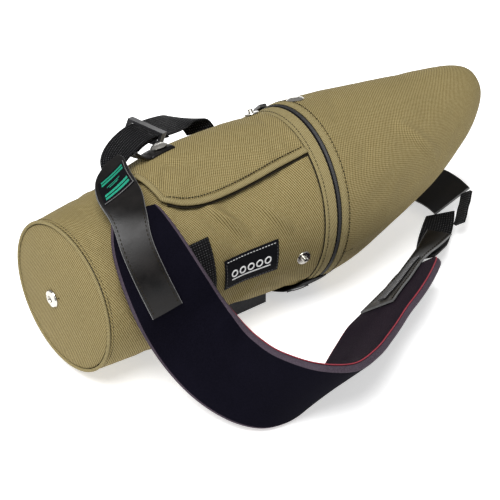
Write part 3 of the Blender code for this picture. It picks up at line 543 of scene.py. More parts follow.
def tube(name, pts, r, mat, body, seg=8, closed=False, flat=1.0, normals=None, rfun=None):
    """Round or flattened cord through points, in design mm."""
    P = [np.asarray(p, float) for p in pts]
    n = len(P)
    rings, uvs = [], []
    ln = 0.0
    up = None
    for i in range(n):
        a = P[(i - 1) % n] if (closed or i > 0) else P[0]
        b = P[(i + 1) % n] if (closed or i < n - 1) else P[-1]
        t = b - a
        t = t / max(np.linalg.norm(t), 1e-9)
        if normals is not None:
            nn = np.asarray(normals[i], float)
        else:
            nn = up if up is not None else (np.array([0, 0, 1.0]) if abs(t[2]) < 0.9 else np.array([1.0, 0, 0]))
        nn = nn - t * nn.dot(t)
        nn = nn / max(np.linalg.norm(nn), 1e-9)
        up = nn
        s = np.cross(t, nn)
        if i:
            ln += float(np.linalg.norm(P[i] - P[i - 1]))
        rr = r * (rfun(i) if rfun else 1.0)
        rings.append([P[i] + nn * math.sin(2 * math.pi * k / seg) * rr * flat + s * math.cos(2 * math.pi * k / seg) * rr
                      for k in range(seg)])
        uvs.append([(ln, 2 * math.pi * r * k / seg) for k in range(seg + 1)])
    return loft(name, rings, uvs, mat, body, closed_u=closed, sharp=None)


def resample(P, step, start=0.0):
    P = np.asarray(P, float)
    d = np.r_[0, np.cumsum(np.linalg.norm(np.diff(P, axis=0), axis=1))]
    s = np.arange(start, d[-1], step)
    return s, d, P


def stitches(name, pts, nrm, mat, body, pitch=3.0, length=2.1, r=0.34, lift=0.15):
    """A row of thread stitches along a line that lies on a surface."""
    P, N = np.asarray(pts, float), np.asarray(nrm, float)
    d = np.r_[0, np.cumsum(np.linalg.norm(np.diff(P, axis=0), axis=1))]
    verts, faces, uvs = [], [], []

    def at(s, A):
        return np.array([np.interp(s, d, A[:, k]) for k in range(3)])
    s = pitch * 0.5
    while s < d[-1] - length * 0.5:
        a, b = at(s - length / 2, P), at(s + length / 2, P)
        n = at(s, N)
        n = n / np.linalg.norm(n)
        t = b - a
        t = t / max(np.linalg.norm(t), 1e-9)
        c = np.cross(n, t)
        base = len(verts)
        prof = ((0.0, -0.55, 0.25), (0.12, 0.0, 0.8), (0.5, 0.25, 1.0), (0.88, 0.0, 0.8), (1.0, -0.55, 0.25))
        for f, h, k in prof:
            m = a + (b - a) * f + n * (lift + r * h)
            for q in range(6):
                an = math.pi * 2 * q / 6
                verts.append(wpt(m + (n * math.sin(an) + c * math.cos(an)) * r * k))
        for i in range(len(prof) - 1):
            for q in range(6):
                q2 = (q + 1) % 6
                faces.append([base + i * 6 + q, base + (i + 1) * 6 + q, base + (i + 1) * 6 + q2, base + i * 6 + q2])
        faces.append([base + q for q in range(6)])
        faces.append([base + (len(prof) - 1) * 6 + q for q in reversed(range(6))])
        s += pitch
    if not verts:
        return None
    uvs = [(0.0, 0.0)] * sum(len(f) for f in faces)
    return new_object(name, verts, faces, uvs, mat, body)


# ------------------------------------------------------------------- materials
class Nodes:
    def __init__(self, name):
        self.m = bpy.data.materials.new(name)
        self.m.use_nodes = True
        self.t = self.m.node_tree
        self.b = self.t.nodes["Principled BSDF"]
        MATS[name] = self.m

    def put(self, socket, v):
        if isinstance(v, (int, float)):
            socket.default_value = v
        elif isinstance(v, tuple):
            socket.default_value = (*v, 1.0) if len(v) == 3 and len(socket.default_value) == 4 else v
        else:
            self.t.links.new(v, socket)

    def mth(self, op, *vals, clamp=False):
        x = self.t.nodes.new("ShaderNodeMath")
        x.operation = op
        x.use_clamp = clamp
        for k, v in enumerate(vals):
            self.put(x.inputs[k], v)
        return x.outputs[0]

    def uv(self):
        u = self.t.nodes.new("ShaderNodeUVMap")
        u.uv_map = "UVMap"
        s = self.t.nodes.new("ShaderNodeSeparateXYZ")
        self.t.links.new(u.outputs[0], s.inputs[0])
        return self.mth("MULTIPLY", s.outputs[0], 100.0), self.mth("MULTIPLY", s.outputs[1], 100.0)

    def obj(self):
        c = self.t.nodes.new("ShaderNodeTexCoord")
        return c.outputs["Object"]

    def xyz(self, v):
        s = self.t.nodes.new("ShaderNodeSeparateXYZ")
        self.t.links.new(v, s.inputs[0])
        return [self.mth("MULTIPLY", s.outputs[k], 1000.0) for k in range(3)]

    def wave(self, a, b, ka, kb, period, phase=0.0):
        """0..1 sine of ka*a + kb*b with that period."""
        x = self.mth("ADD", self.mth("MULTIPLY", a, ka), self.mth("MULTIPLY", b, kb))
        x = self.mth("SINE", self.mth("ADD", self.mth("MULTIPLY", x, 2 * math.pi / period), phase))
        return self.mth("MULTIPLY_ADD", x, 0.5, 0.5)

    def noise(self, scale, detail=3.0, rough=0.55, vec=None):
        x = self.t.nodes.new("ShaderNodeTexNoise")
        x.inputs["Scale"].default_value = scale
        x.inputs["Detail"].default_value = detail
        x.inputs["Roughness"].default_value = rough
        self.t.links.new(vec if vec is not None else self.obj(), x.inputs["Vector"])
        return x.outputs[0]

    def mix(self, f, a, b):
        x = self.t.nodes.new("ShaderNodeMix")
        x.data_type = 'RGBA'
        self.put(x.inputs[0], f)
        self.put(x.inputs[6], a)
        self.put(x.inputs[7], b)
        return x.outputs[2]

    def ramp(self, f, lo, hi, a=0.0, b=1.0):
        x = self.t.nodes.new("ShaderNodeMapRange")
        self.put(x.inputs[0], f)
        for k, v in enumerate((lo, hi, a, b)):
            x.inputs[k + 1].default_value = v
        return x.outputs[0]

    def bump(self, h, strength, mm):
        x = self.t.nodes.new("ShaderNodeBump")
        x.inputs["Strength"].default_value = strength
        x.inputs["Distance"].default_value = mm * MM
        self.t.links.new(h, x.inputs["Height"])
        self.t.links.new(x.outputs[0], self.b.inputs["Normal"])

    def base(self, colour, rough):
        self.put(self.b.inputs["Base Color"], colour)
        self.put(self.b.inputs["Roughness"], rough)


def twill(name, ka, kb, dark=(0.070, 0.051, 0.017), mid=(0.222, 0.172, 0.071), light=(0.41, 0.335, 0.168), pitch=1.45, weft=0.35):
    g = Nodes(name)
    u, v = g.uv()
    wob = g.noise(90.0, 2.0)
    uu = g.mth("ADD", u, g.mth("MULTIPLY", wob, 0.5))
    rib = g.wave(uu, v, ka, kb, pitch)
    thread = g.wave(uu, v, kb, -ka, pitch * 0.92)
    h = g.mth("MULTIPLY_ADD", thread, weft, g.mth("MULTIPLY", rib, 1.0 - weft))
    big = g.noise(14.0, 4.0, 0.6)
    fine = g.noise(650.0, 2.0, 0.7)
    c = g.mix(g.ramp(h, 0.12, 0.62), dark, mid)
    c = g.mix(g.ramp(h, 0.55, 1.0, 0.0, 0.75), c, light)
    c = g.mix(g.ramp(big, 0.35, 0.7, 0.0, 0.22), c, (0.125, 0.100, 0.040))
    c = g.mix(g.ramp(fine, 0.45, 0.75, 0.0, 0.30), c, (0.33, 0.29, 0.155))
    g.base(c, g.ramp(fine, 0.3, 0.7, 0.72, 0.9))
    g.b.inputs["Specular IOR Level"].default_value = 0.10
    g.bump(h, 0.55, 0.28)
    return g.m


D = math.sqrt(0.5)
twill("twill_diag", 0.90, 0.44, pitch=1.5)
twill("twill_diag_b", 0.90, -0.44, pitch=1.5)
twill("twill_rows", 0.80, -0.60, pitch=1.5)
twill("twill_bind", 0.94, 0.34, dark=(0.085, 0.066, 0.025), mid=(0.250, 0.200, 0.092), light=(0.42, 0.355, 0.19), pitch=1.2)


def dark_weave(name, base, light, pitch_u, pitch_v, rough=0.7, specks=0.5, depth=0.35):
    g = Nodes(name)
    u, v = g.uv()
    a = g.wave(u, v, 1.0, 0.0, pitch_u)
    b = g.wave(u, v, 0.0, 1.0, pitch_v, 0.6)
    h = g.mth("MULTIPLY", a, b)
    fine = g.noise(900.0, 2.0, 0.7)
    f = g.mth("MULTIPLY", g.ramp(h, 0.55, 0.95), g.ramp(fine, 0.35, 0.7, 0.15, 1.0), clamp=True)
    c = g.mix(g.mth("MULTIPLY", f, specks), base, light)
    g.base(c, g.ramp(fine, 0.3, 0.7, rough - 0.1, min(rough + 0.1, 1.0)))
    g.b.inputs["Specular IOR Level"].default_value = 0.05
    g.bump(h, 0.7, depth)
    return g.m


dark_weave("webbing", (0.0045, 0.0045, 0.005), (0.26, 0.26, 0.27), 2.3, 1.9, 0.6, 0.55, 0.6)
dark_weave("webbing_inlay", (0.06, 0.06, 0.062), (0.55, 0.55, 0.56), 2.0, 60.0, 0.6, 0.95, 0.6)
dark_weave("zip_tape", (0.005, 0.005, 0.006), (0.05, 0.05, 0.05), 1.1, 1.1, 0.75, 0.4, 0.25)
dark_weave("label_weave", (0.0035, 0.0035, 0.005), (0.03, 0.03, 0.033), 0.7, 0.7, 0.5, 0.5, 0.1)
dark_weave("gusset_cloth", (0.004, 0.004, 0.005), (0.035, 0.035, 0.038), 1.0, 1.0, 0.55, 0.4, 0.2)
dark_weave("ribbed_jersey", (0.010, 0.0065, 0.011), (0.048, 0.034, 0.046), 1.9, 90.0, 0.8, 0.8, 0.5)
dark_weave("thread_green", (0.015, 0.24, 0.15), (0.06, 0.52, 0.36), 60.0, 0.9, 0.5, 0.8, 0.2)
dark_weave("thread_red", (0.26, 0.035, 0.05), (0.42, 0.10, 0.12), 1.2, 60.0, 0.6, 0.8, 0.2)


def plain(name, base, alt, rough, scale=500.0, bump=0.15, depth=0.2, metallic=0.0, coat=0.0, sheen=0.0, detail=4.0, mixf=0.6,
          spec=0.5):
    g = Nodes(name)
    fine = g.noise(scale, detail, 0.6)
    big = g.noise(25.0, 3.0, 0.6)
    c = g.mix(g.ramp(fine, 0.35, 0.7, 0.0, mixf), base, alt)
    c = g.mix(g.ramp(big, 0.4, 0.7, 0.0, mixf * 0.5), c, alt)
    g.base(c, g.ramp(big, 0.3, 0.7, max(rough - 0.08, 0.03), min(rough + 0.08, 1.0)))
    g.b.inputs["Metallic"].default_value = metallic
    g.b.inputs["Coat Weight"].default_value = coat
    g.b.inputs["Specular IOR Level"].default_value = spec
    g.b.inputs["Sheen Weight"].default_value = sheen
    g.bump(fine, bump, depth)
    return g.m


plain("neoprene", (0.0020, 0.0018, 0.0040), (0.0060, 0.0055, 0.0105), 0.85, 1100.0, 0.25, 0.12, spec=0.02)
plain("pad_edge", (0.035, 0.026, 0.036), (0.085, 0.066, 0.085), 0.85, 900.0, 0.3, 0.15, spec=0.1)
plain("cut_edge", (0.085, 0.085, 0.085), (0.20, 0.20, 0.20), 0.8, 700.0, 0.3, 0.15, spec=0.1)
plain("foam", (0.085, 0.085, 0.09), (0.13, 0.13, 0.135), 0.95, 700.0, 0.6, 0.4, spec=0.1)
plain("lining", (0.012, 0.012, 0.015), (0.022, 0.022, 0.027), 0.8, 900.0, 0.3, 0.15, spec=0.1)
plain("moulding", (0.008, 0.008, 0.009), (0.016, 0.016, 0.018), 0.34, 900.0, 0.12, 0.08, spec=0.45)
plain("foot_cloth", (0.030, 0.031, 0.034), (0.055, 0.056, 0.06), 0.75, 800.0, 0.4, 0.25, spec=0.12)
plain("thread_white", (0.62, 0.62, 0.62), (0.8, 0.8, 0.8), 0.6, 1200.0, 0.3, 0.05, spec=0.2)
plain("thread_grey", (0.055, 0.055, 0.058), (0.13, 0.13, 0.135), 0.6, 1200.0, 0.3, 0.05, spec=0.2)
plain("thread_dark", (0.012, 0.010, 0.006), (0.028, 0.024, 0.015), 0.75, 1200.0, 0.3, 0.05, spec=0.08)
plain("nickel", (0.62, 0.60, 0.55), (0.46, 0.44, 0.40), 0.22, 60.0, 0.05, 0.05, metallic=1.0)
plain("zip_metal", (0.16, 0.155, 0.15), (0.10, 0.10, 0.10), 0.3, 120.0, 0.05, 0.05, metallic=1.0)


def leather(name):
    g = Nodes(name)
    v = g.t.nodes.new("ShaderNodeTexVoronoi")
    v.inputs["Scale"].default_value = 1100.0
    g.t.links.new(g.obj(), v.inputs["Vector"])
    fine = g.noise(1500.0, 3.0, 0.6)
    big = g.noise(40.0, 4.0, 0.6)
    h = g.mth("MULTIPLY_ADD", fine, 0.4, v.outputs["Distance"])
    c = g.mix(g.ramp(big, 0.35, 0.7), (0.0018, 0.0016, 0.0018), (0.0085, 0.0070, 0.0065))
    g.base(c, g.ramp(big, 0.3, 0.7, 0.26, 0.50))
    g.b.inputs["Specular IOR Level"].default_value = 0.22
    g.bump(h, 0.35, 0.12)
    return g.m


leather("leather")


def coil(name):
    g = Nodes(name)
    u, v = g.uv()
    a = g.wave(u, v, 0.0, 1.0, 1.5)
    c = g.mix(g.ramp(a, 0.5, 0.95), (0.008, 0.008, 0.009), (0.075, 0.075, 0.07))
    g.base(c, g.ramp(a, 0.2, 0.9, 0.6, 0.35))
    g.bump(a, 0.8, 0.5)
    return g.m


coil("zip_coil")

g = Nodes("floor")
n0 = g.noise(3.0, 3.0, 0.5)
g.base(g.mix(g.ramp(n0, 0.3, 0.7), (0.90, 0.90, 0.90), (0.93, 0.93, 0.93)), g.ramp(n0, 0.3, 0.7, 0.85, 0.95))
g.b.inputs["Emission Color"].default_value = (1.0, 1.0, 1.0, 1.0)
g.b.inputs["Emission Strength"].default_value = 0.52


# ---------------------------------------------------------------- fabric shapes
def lump(p, amp=0.5, scale=0.03, seed=0.0):
    return amp * noise.noise(Vector((p.x * scale + seed, p.y * scale, p.z * scale)))


def crease(s, t, line, width, depth, r=60.0):
    """A fold line from (s0, theta0) to (s1, theta1), fading at its ends."""
    s0, t0, s1, t1 = line
    k = math.pi / 180.0 * r
    ax, ay, bx, by = s0, t0 * k, s1, t1 * k
    px, py = s, ((t + 180.0) % 360.0 - 180.0) * k
    L2 = (bx - ax) ** 2 + (by - ay) ** 2
    f = ((px - ax) * (bx - ax) + (py - ay) * (by - ay)) / L2
    g = min(max(f, 0.0), 1.0)
    d = math.hypot(px - ax - g * (bx - ax), py - ay - g * (by - ay))
    if d > 3.2 * width:
        return 0.0
    end = math.sin(math.pi * min(max(0.12 + 0.76 * g, 0.0), 1.0))
    return depth * end * math.exp(-(d / width) ** 2)


CASE_FOLDS = [((101.0, 58.0, 122.0, 25.0), 4.2, -2.2), ((108.0, 58.0, 131.0, 30.0), 3.6, 4.4), ((96.0, 50.0, 112.0, 22.0), 4.0, 1.4),
              ((122.0, 56.0, 143.0, 27.0), 4.2, -1.9), ((142.0, 42.0, 160.0, 14.0), 3.2, -2.0), ((149.0, 44.0, 168.0, 20.0), 3.4, 3.6),
              ((120.0, -48.0, 152.0, -16.0), 3.8, -2.0), ((124.0, -36.0, 142.0, -17.0), 3.6, 3.0), ((88.0, 30.0, 100.0, -20.0), 5.0, -1.2),
              ((168.0, -30.0, 186.0, -44.0), 5.0, -1.4), ((64.0, 60.0, 84.0, 40.0), 5.0, -1.2), ((170.0, 45.0, 196.0, 30.0), 7.0, 0.9),
              ((150.0, -24.0, 172.0, -40.0), 5.0, 1.2)]


def cloth_r(s, t):
    r = case_r(s, t)
    for line, w, d in CASE_FOLDS:
        r += crease(s, t, line, w, d)
    r = max(r, case_r(s, t) - 0.6)
    k = min(1.0, (s - 60.6) / 8.0, (199.2 - s) / 8.0)
    p = on_case(s, t, r)
    return r + max(k, 0.0) * (lump(p, 0.55, 0.035, 3.0) + lump(p, 0.25, 0.09, 9.0))


def hood_cloth_r(s, t):
    r = hood_r(s)
    p = on_case(s, t, r)
    k = min(1.0, (s - 222.0) / 15.0) if s > 222.0 else 0.0
    r += crease(s, t, (280.0, 48.0, 303.0, 18.0), 4.5, -1.7, 55.0) + crease(s, t, (296.0, 27.6, 318.9, -4.2), 3.0, -1.2, 50.0)
    r += crease(s, t, (291.0, 52.0, 322.0, 10.0), 4.0, 3.8, 52.0) + crease(s, t, (255.0, 40.0, 285.0, 10.0), 8.0, 0.9, 60.0) + crease(s, t, (300.0, 5.0, 330.0, -30.0), 6.0, -0.7, 46.0)
    r += crease(s, t, (232.0, -19.0, 252.0, -26.0), 5.0, -0.9, 66.0) + crease(s, t, (250.0, 75.0, 300.0, 62.0), 7.0, 0.5, 58.0)
    r = max(r, hood_r(s) - 0.7)
    return r + k * (lump(p, 0.7, 0.025, 5.0) + lump(p, 0.2, 0.08, 1.0))


def cap_cloth_r(s, t):
    r = cap_r(s)
    p = on_case(s, t, r)
    k = max(0.0, min(1.0, (s - 2.4) / 6.0, (53.8 - s) / 6.0))
    r += crease(s, t, (14.0, 62.0, 34.0, 44.0), 6.0, -0.7) + crease(s, t, (20.0, 20.0, 44.0, 2.0), 6.0, -0.6)
    return r + k * (lump(p, 0.5, 0.035, 12.0))


def lin(a, b, n):
    return [a + (b - a) * i / n for i in range(n + 1)]


def rows_with(a, b, step, marks):
    """Even rows from a to b that include the marks."""
    stops = sorted({a, b, *[m for m in marks if a < m < b]})
    out = []
    for x, y in zip(stops, stops[1:]):
        n = max(1, round((y - x) / step))
        out += [x + (y - x) * i / n for i in range(n)]
    return out + [b]


def tube_shell(name, S, nt, rfun, mat, body, thick, holes=(), tip=None, sim=None, uvr=60.0, marks=()):
    T = [360.0 * j / nt for j in range(nt)]
    if marks:
        T = [t for t in rows_with(-180.0, 180.0, 360.0 / nt, marks)][:-1]
    P = [[tuple(on_case(s, t, rfun(s, t))) for t in T] for s in S]
    Tw = T + [T[0] + 360.0]
    UV = [[(s, math.radians(t) * uvr) for t in Tw] for s in S]

    def skip(i, j):
        s, t = 0.5 * (S[i] + S[i + 1]), 0.5 * (Tw[j] + Tw[j + 1])
        return any(s0 < s < s1 and 0.0 < (t - t0) % 360.0 < (t1 - t0) for s0, s1, t0, t1 in holes)
    ob = grid(name, P, UV, mat, None, wrap=True, skip=skip if holes else None, outward=radial(S[0], T[0]), tip=tip, ride=False)
    if sim:
        relax(ob, border_vertices(ob.data), **sim)
    subdivide(ob, 1)
    thicken(ob, thick)
    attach(ob, body)
    return ob


def line_on(rfun, s_t, lift=0.0):
    pts = [on_case(s, t, rfun(s, t) + lift) for s, t in s_t]
    nr = [surface_normal(rfun, s, t) for s, t in s_t]
    return [tuple(p) for p in pts], [tuple(n) for n in nr]


def stitched(name, rfun, s_t, mat, body, lift=0.1, **kw):
    p, n = line_on(rfun, s_t, lift)
    return stitches(name, p, n, mat, body, **kw)


def ring_line(s, n=240):
    return [(s, -180.0 + 360.0 * k / n) for k in range(n + 1)]


def dense(a, b, n=24):
    return [(a[0] + (b[0] - a[0]) * k / n, a[1] + (b[1] - a[1]) * k / n) for k in range(n + 1)]


# ---- case body
body_o = tube_shell("case_body_cloth", rows_with(60.6, 199.2, 2.4, (104.0, 190.0, 112.0, 160.0)), 120, cloth_r, "twill_diag", "case", 1.2,
                    holes=[WINDOW, PORT], sim=dict(pressure=0.5, slack=0.02, cap=1.0, frames=12), marks=(72.0, 108.0, -108.0, -72.0))
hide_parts("case_shell")


# ---- ring band by the hood zip: a folded strip, rolled at both edges
def roll_ring(name, s0, s1, rbase, thick, mat, body, nt=160, edge=0.9, arc=6, uvr=68.0, swell=0.4, replaces=()):
    prof = []
    n = 8
    for k in range(arc + 1):
        a = math.pi - math.pi / 2 * k / arc
        prof.append((s0 + edge + edge * math.cos(a), thick - edge + edge * math.sin(a)))
    for k in range(1, n):
        q = k / n
        prof.append((s0 + edge + (s1 - s0 - 2 * edge) * q, thick + swell * math.sin(math.pi * q)))
    for k in range(arc + 1):
        a = math.pi / 2 - math.pi / 2 * k / arc
        prof.append((s1 - edge + edge * math.cos(a), thick - edge + edge * math.sin(a)))
    prof += [(s1, 0.0), (0.5 * (s0 + s1), -0.2), (s0, 0.0)]
    rings, uvs = [], []
    for j in range(nt):
        t = 360.0 * j / nt
        rings.append([tuple(on_case(s, t, rbase(s, t) + h)) for s, h in prof])
        uvs.append([(s + h, math.radians(t) * uvr) for s, h in prof] + [(prof[0][0], math.radians(t) * uvr)])
    ob = loft(name, rings, uvs, mat, body, closed_u=True, sharp=60)
    if replaces:
        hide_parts(*replaces)
    return ob


rb = roll_ring("ring_band_cloth", 199.9, 210.3, lambda s, t: case_r(s, t) - 0.6, 1.6, "twill_bind", "case", replaces=("ring_band",))
stitched("ring_band_stitches", lambda s, t: case_r(s, t) + 1.25, ring_line(202.2), "thread_dark", "case", pitch=2.9, r=0.28)
# painted shadow: a dark ring sunk in the seam gap beside the ring band stands in for the shade there
seam_painted_shadow = roll_ring("ring_seam_shadow", 198.7, 200.3, lambda s, t: case_r(s, t) - 1.6, 1.95, "thread_dark", "case", edge=0.5, swell=0.0)
z1 = roll_ring("hood_zip_case_side", 210.6, 212.35, lambda s, t: 65.6, 2.6, "zip_tape", "case", edge=0.5, swell=0.1, replaces=("hood_zip_tape_case",))
z2 = roll_ring("hood_zip_hood_side", 212.75, 214.5, lambda s, t: 65.6, 2.6, "zip_tape", "hood", edge=0.5, swell=0.1, replaces=("hood_zip_tape_hood",))
z3 = roll_ring("cap_zip_case_side", 57.6, 60.2, lambda s, t: 60.0, 2.6, "zip_tape", "case", edge=0.5, swell=0.1, replaces=("cap_zip_tape_case",))
z4 = roll_ring("cap_zip_cap_side", 54.3, 57.0, lambda s, t: 60.0, 2.6, "zip_tape", "cap", edge=0.5, swell=0.1, replaces=("cap_zip_tape_cap",))


def coil_ring(name, s, r, body, n=270, rad=0.55):
    """Zip coil: one bead per tooth."""
    pts, nr = [], []
    m = n * 3
    for k in range(m):
        t = 360.0 * k / m
        pts.append(tuple(on_case(s, t, r)))
        nr.append(tuple(radial(s, t)))
    return tube(name, pts, rad, "zip_coil", body, seg=6, closed=True, normals=nr, rfun=lambda i: 1.0 + 0.38 * math.cos(2 * math.pi * i / 3))


coil_ring("hood_zip_teeth_a", 212.05, 68.55, "case")
coil_ring("hood_zip_teeth_b", 213.1, 68.55, "hood")
coil_ring("cap_zip_teeth_a", 57.95, 62.75, "case", 250)
coil_ring("cap_zip_teeth_b", 56.65, 62.75, "cap", 250)

# ---- hood
tip_c = frame_pt = section(396.0)[0]
hood_o = tube_shell("hood_cloth", rows_with(214.9, 392.5, 3.2, (385.0,)), 112, hood_cloth_r, "twill_diag_b", "hood", 1.2, tip=tuple(tip_c),
                    sim=dict(pressure=0.5, slack=0.012, cap=1.0, frames=12), uvr=58.0)
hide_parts("hood_shell")
hem = roll_ring("hood_hem", 214.9, 220.4, lambda s, t: hood_r(s) - 0.6, 1.5, "twill_bind", "hood", edge=0.8, swell=0.25)
stitched("hood_hem_stitches", lambda s, t: hood_r(s) + 1.0, ring_line(221.3), "thread_dark", "hood", lift=-0.35, pitch=2.7, length=2.0, r=0.4)
pip = [tuple(on_case(214.9, 360.0 * k / 180, 68.9)) for k in range(180)]
tube("hood_edge_piping", pip, 0.6, "twill_bind", "hood", seg=8, closed=True)
stitched("hood_side_seam", hood_cloth_r, dense((216.0, -15.5), (233.0, -19.5)), "thread_dark", "hood", pitch=2.1, length=2.0, r=0.4, lift=0.1)
p_, n_ = line_on(hood_cloth_r, dense((297.0, 26.0), (320.0, -6.0)), 0.0)
pass

# ---- cap
cap_o = tube_shell("cap_cloth", rows_with(2.4, 53.9, 2.6, ()), 112, cap_cloth_r, "twill_diag", "cap", 1.2,
                   sim=dict(pressure=0.4, slack=0.012, cap=0.8, frames=10), uvr=61.0)
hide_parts("cap_wall")


def end_panel():
    nr, nt = 26, 96
    P, UV = [], []
    for i in range(nr + 1):
        rho = 57.0 * (0.02 + 0.98 * i / nr)
        row, uv = [], []
        for j in range(nt):
            a = 2 * math.pi * j / nt
            y, z = -rho * math.cos(a), 66.0 + rho * math.sin(a)
            d = 4.0 * (1.0 - (rho / 57.2) ** 2)
            q = Vector((0.0, y, z))
            x = 0.2 - d - lump(q, 0.45, 0.04, 2.0) * min(1.0, (57.2 - rho) / 8.0)
            row.append((x, y, z + 0.006))
            uv.append((y, z))
        uv.append(uv[0])
        P.append(row)
        UV.append(uv)
    ob = grid("cap_end_cloth", P, UV, "twill_diag", None, wrap=True, outward=(-1, 0, 0), tip=None, ride=False)
    relax(ob, border_vertices(ob.data), pressure=0.3, slack=0.006, cap=0.5, frames=8)
    subdivide(ob, 1)
    thicken(ob, 1.2)
    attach(ob, "cap")
    return ob


ep = end_panel()
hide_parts("cap_end_panel")
pp = [tuple(on_case(0.4, 360.0 * k / 160, 58.8)) for k in range(160)]
cp = tube("cap_piping_cloth", pp, 1.3, "twill_bind", "cap", seg=12, closed=True)
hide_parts("cap_piping")
stitched("cap_seam_stitches", cap_cloth_r, ring_line(4.2), "thread_dark", "cap", pitch=2.8, r=0.26)

# ---- flap and top panel: one outer skin over the fold
SK = rows_with(66.0, 198.5, 1.9, (80.0,))
NF, NB = 26, 22


def flap_edge_t(s):
    return curve_value(FLAP_EDGE, s) + 1.2


def skin_r(s, t):
    r = top_r(s, t)
    e0 = (t - flap_edge_t(s)) * 1.15                    # mm from the near edge
    if s < 80.0:
        e0 = 99.0
    e1 = (FLAP_FAR - t) * 1.15
    e2 = min(s - (80.0 if t < FLAP_FOLD else 66.0), 200.0)
    h = flap_t(s)
    for e, w in ((e0, 5.0), (e1, 6.0), (e2, 6.0)):
        if e < w:
            r -= h * 0.55 * (1.0 - max(e, 0.0) / w) ** 2
    if s > 150.0:
        r += 0.0
    r += crease(s, t, (101.0, 98.0, 80.0, 77.0), 3.4, -2.2, 70.0)
    r += crease(s, t, (109.0, 92.0, 99.0, 99.0), 5.0, -2.2, 70.0)
    r += crease(s, t, (109.0, 85.0, 88.0, 72.0), 4.6, 2.0, 70.0)
    r += crease(s, t, (150.0, 100.0, 186.0, 96.0), 9.0, 0.5, 70.0)
    p = on_case(s, t, r)
    return r - 0.4 + lump(p, 0.5, 0.03, 20.0)


def skin():
    P, UV = [], []
    for s in SK:
        t0 = flap_edge_t(s) if s >= 80.0 else flap_edge_t(80.0)
        T = [t0 + (FLAP_FOLD - t0) * k / NF for k in range(NF)] + [FLAP_FOLD + (FLAP_FAR - FLAP_FOLD) * k / NB for k in range(NB + 1)]
        P.append([tuple(on_case(s, t, skin_r(s, t))) for t in T])
        UV.append([(s, math.radians(t) * 68.0) for t in T])

    def skip(i, j):
        return SK[i] < 79.9 and j < NF
    ob = grid("flap_and_top_cloth", P, UV, "twill_rows", None, skip=skip, outward=radial(66.0, 75.0), ride=False)
    relax(ob, border_vertices(ob.data), pressure=0.25, slack=0.01, cap=0.8, frames=10)
    subdivide(ob, 1)
    thicken(ob, 1.2)
    return ob


sk = skin()
for mname in [m for m in sk.modifiers]:
    pass
bpy.context.view_layer.update()
me2 = bpy.data.meshes.new_from_object(sk.evaluated_get(bpy.context.evaluated_depsgraph_get()))
sk.modifiers.clear()
sk.data = me2
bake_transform(sk)


def pad_panel(name, t0f, t1f, S, body, nt=16):
    """Foam under the skin, tapering with it."""
    rings, uvs = [], []
    for s in S:
        t0, t1 = t0f(s), t1f(s)
        top = [(t0 + (t1 - t0) * k / nt) for k in range(nt + 1)]
        ring = [tuple(on_case(s, t, case_r(s, t) + 1.3 + max(0.25, (skin_r(s, t) - 1.3 - case_r(s, t) - 1.3) * 1.0))) for t in top]
        ring += [tuple(on_case(s, t, case_r(s, t) + 1.3)) for t in reversed(top)]
        rings.append(ring)
        row = [(s, math.radians(t) * 66.0) for t in top + top[::-1]]
        uvs.append(row + [row[0]])
    return loft(name, rings, uvs, "foam", body, sharp=50)


f1 = pad_panel("flap_foam", lambda s: flap_edge_t(s) + 0.8, lambda s: FLAP_FOLD - 0.3, rows_with(81.0, 198.0, 4.0, ()), "flap")
f2 = pad_panel("top_foam", lambda s: FLAP_FOLD + 0.3, lambda s: FLAP_FAR - 0.6, rows_with(67.0, 198.0, 4.0, ()), "case")
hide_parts("access_flap")
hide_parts("top_panel")


# binding round the flap's free edge
def rim_points(off=0.0, lift=0.0, n=90):
    pts, nr = [], []
    for k in range(n + 1):
        s = 198.2 - (198.2 - 80.2) * k / n
        t = curve_value(FLAP_EDGE, s) - 0.2 + off
        r = case_r(s, t) + max(2.2, 0.9 + 0.55 * flap_t(s)) + lift
        pts.append(on_case(s, t, r))
        nr.append(surface_normal(case_r, s, t))
    t = curve_value(FLAP_EDGE, 80.2)
    for k in range(1, 16):
        tt = t + (FLAP_FOLD - 2.0 - t) * k / 15
        s = 79.6 - off * 1.1
        pts.append(on_case(s, tt, case_r(s, tt) + 0.9 + 0.55 * flap_t(80.0) + lift))
        nr.append(surface_normal(case_r, 80.0, tt))
    return pts, nr


rp, rn = rim_points(0.9, 0.9)
bind = tube("flap_binding_cloth", [tuple(p) for p in rp], 2.5, "twill_bind", "flap", seg=14, normals=[tuple(n) for n in rn], flat=0.62)
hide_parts("flap_binding")
st_pts, st_n = [], []
for k in range(120):
    s = 197.0 - (197.0 - 81.5) * k / 119
    t = flap_edge_t(s) + 2.9
    st_pts.append(tuple(on_case(s, t, skin_r(s, t))))
    st_n.append(tuple(surface_normal(skin_r, s, t)))
stitches("flap_binding_stitches", st_pts, st_n, "thread_dark", "flap", pitch=2.5, length=1.9, r=0.42, lift=0.15)
# painted shadow: a dark cord under the binding stands in for the shade in the gap there
gp, gn = rim_points(-1.6, -1.4)
tube("flap_binding_painted_shadow", [tuple(p) for p in gp[:91]], 1.15, "thread_dark", "flap", seg=6, normals=[tuple(n) for n in gn[:91]], flat=0.6)


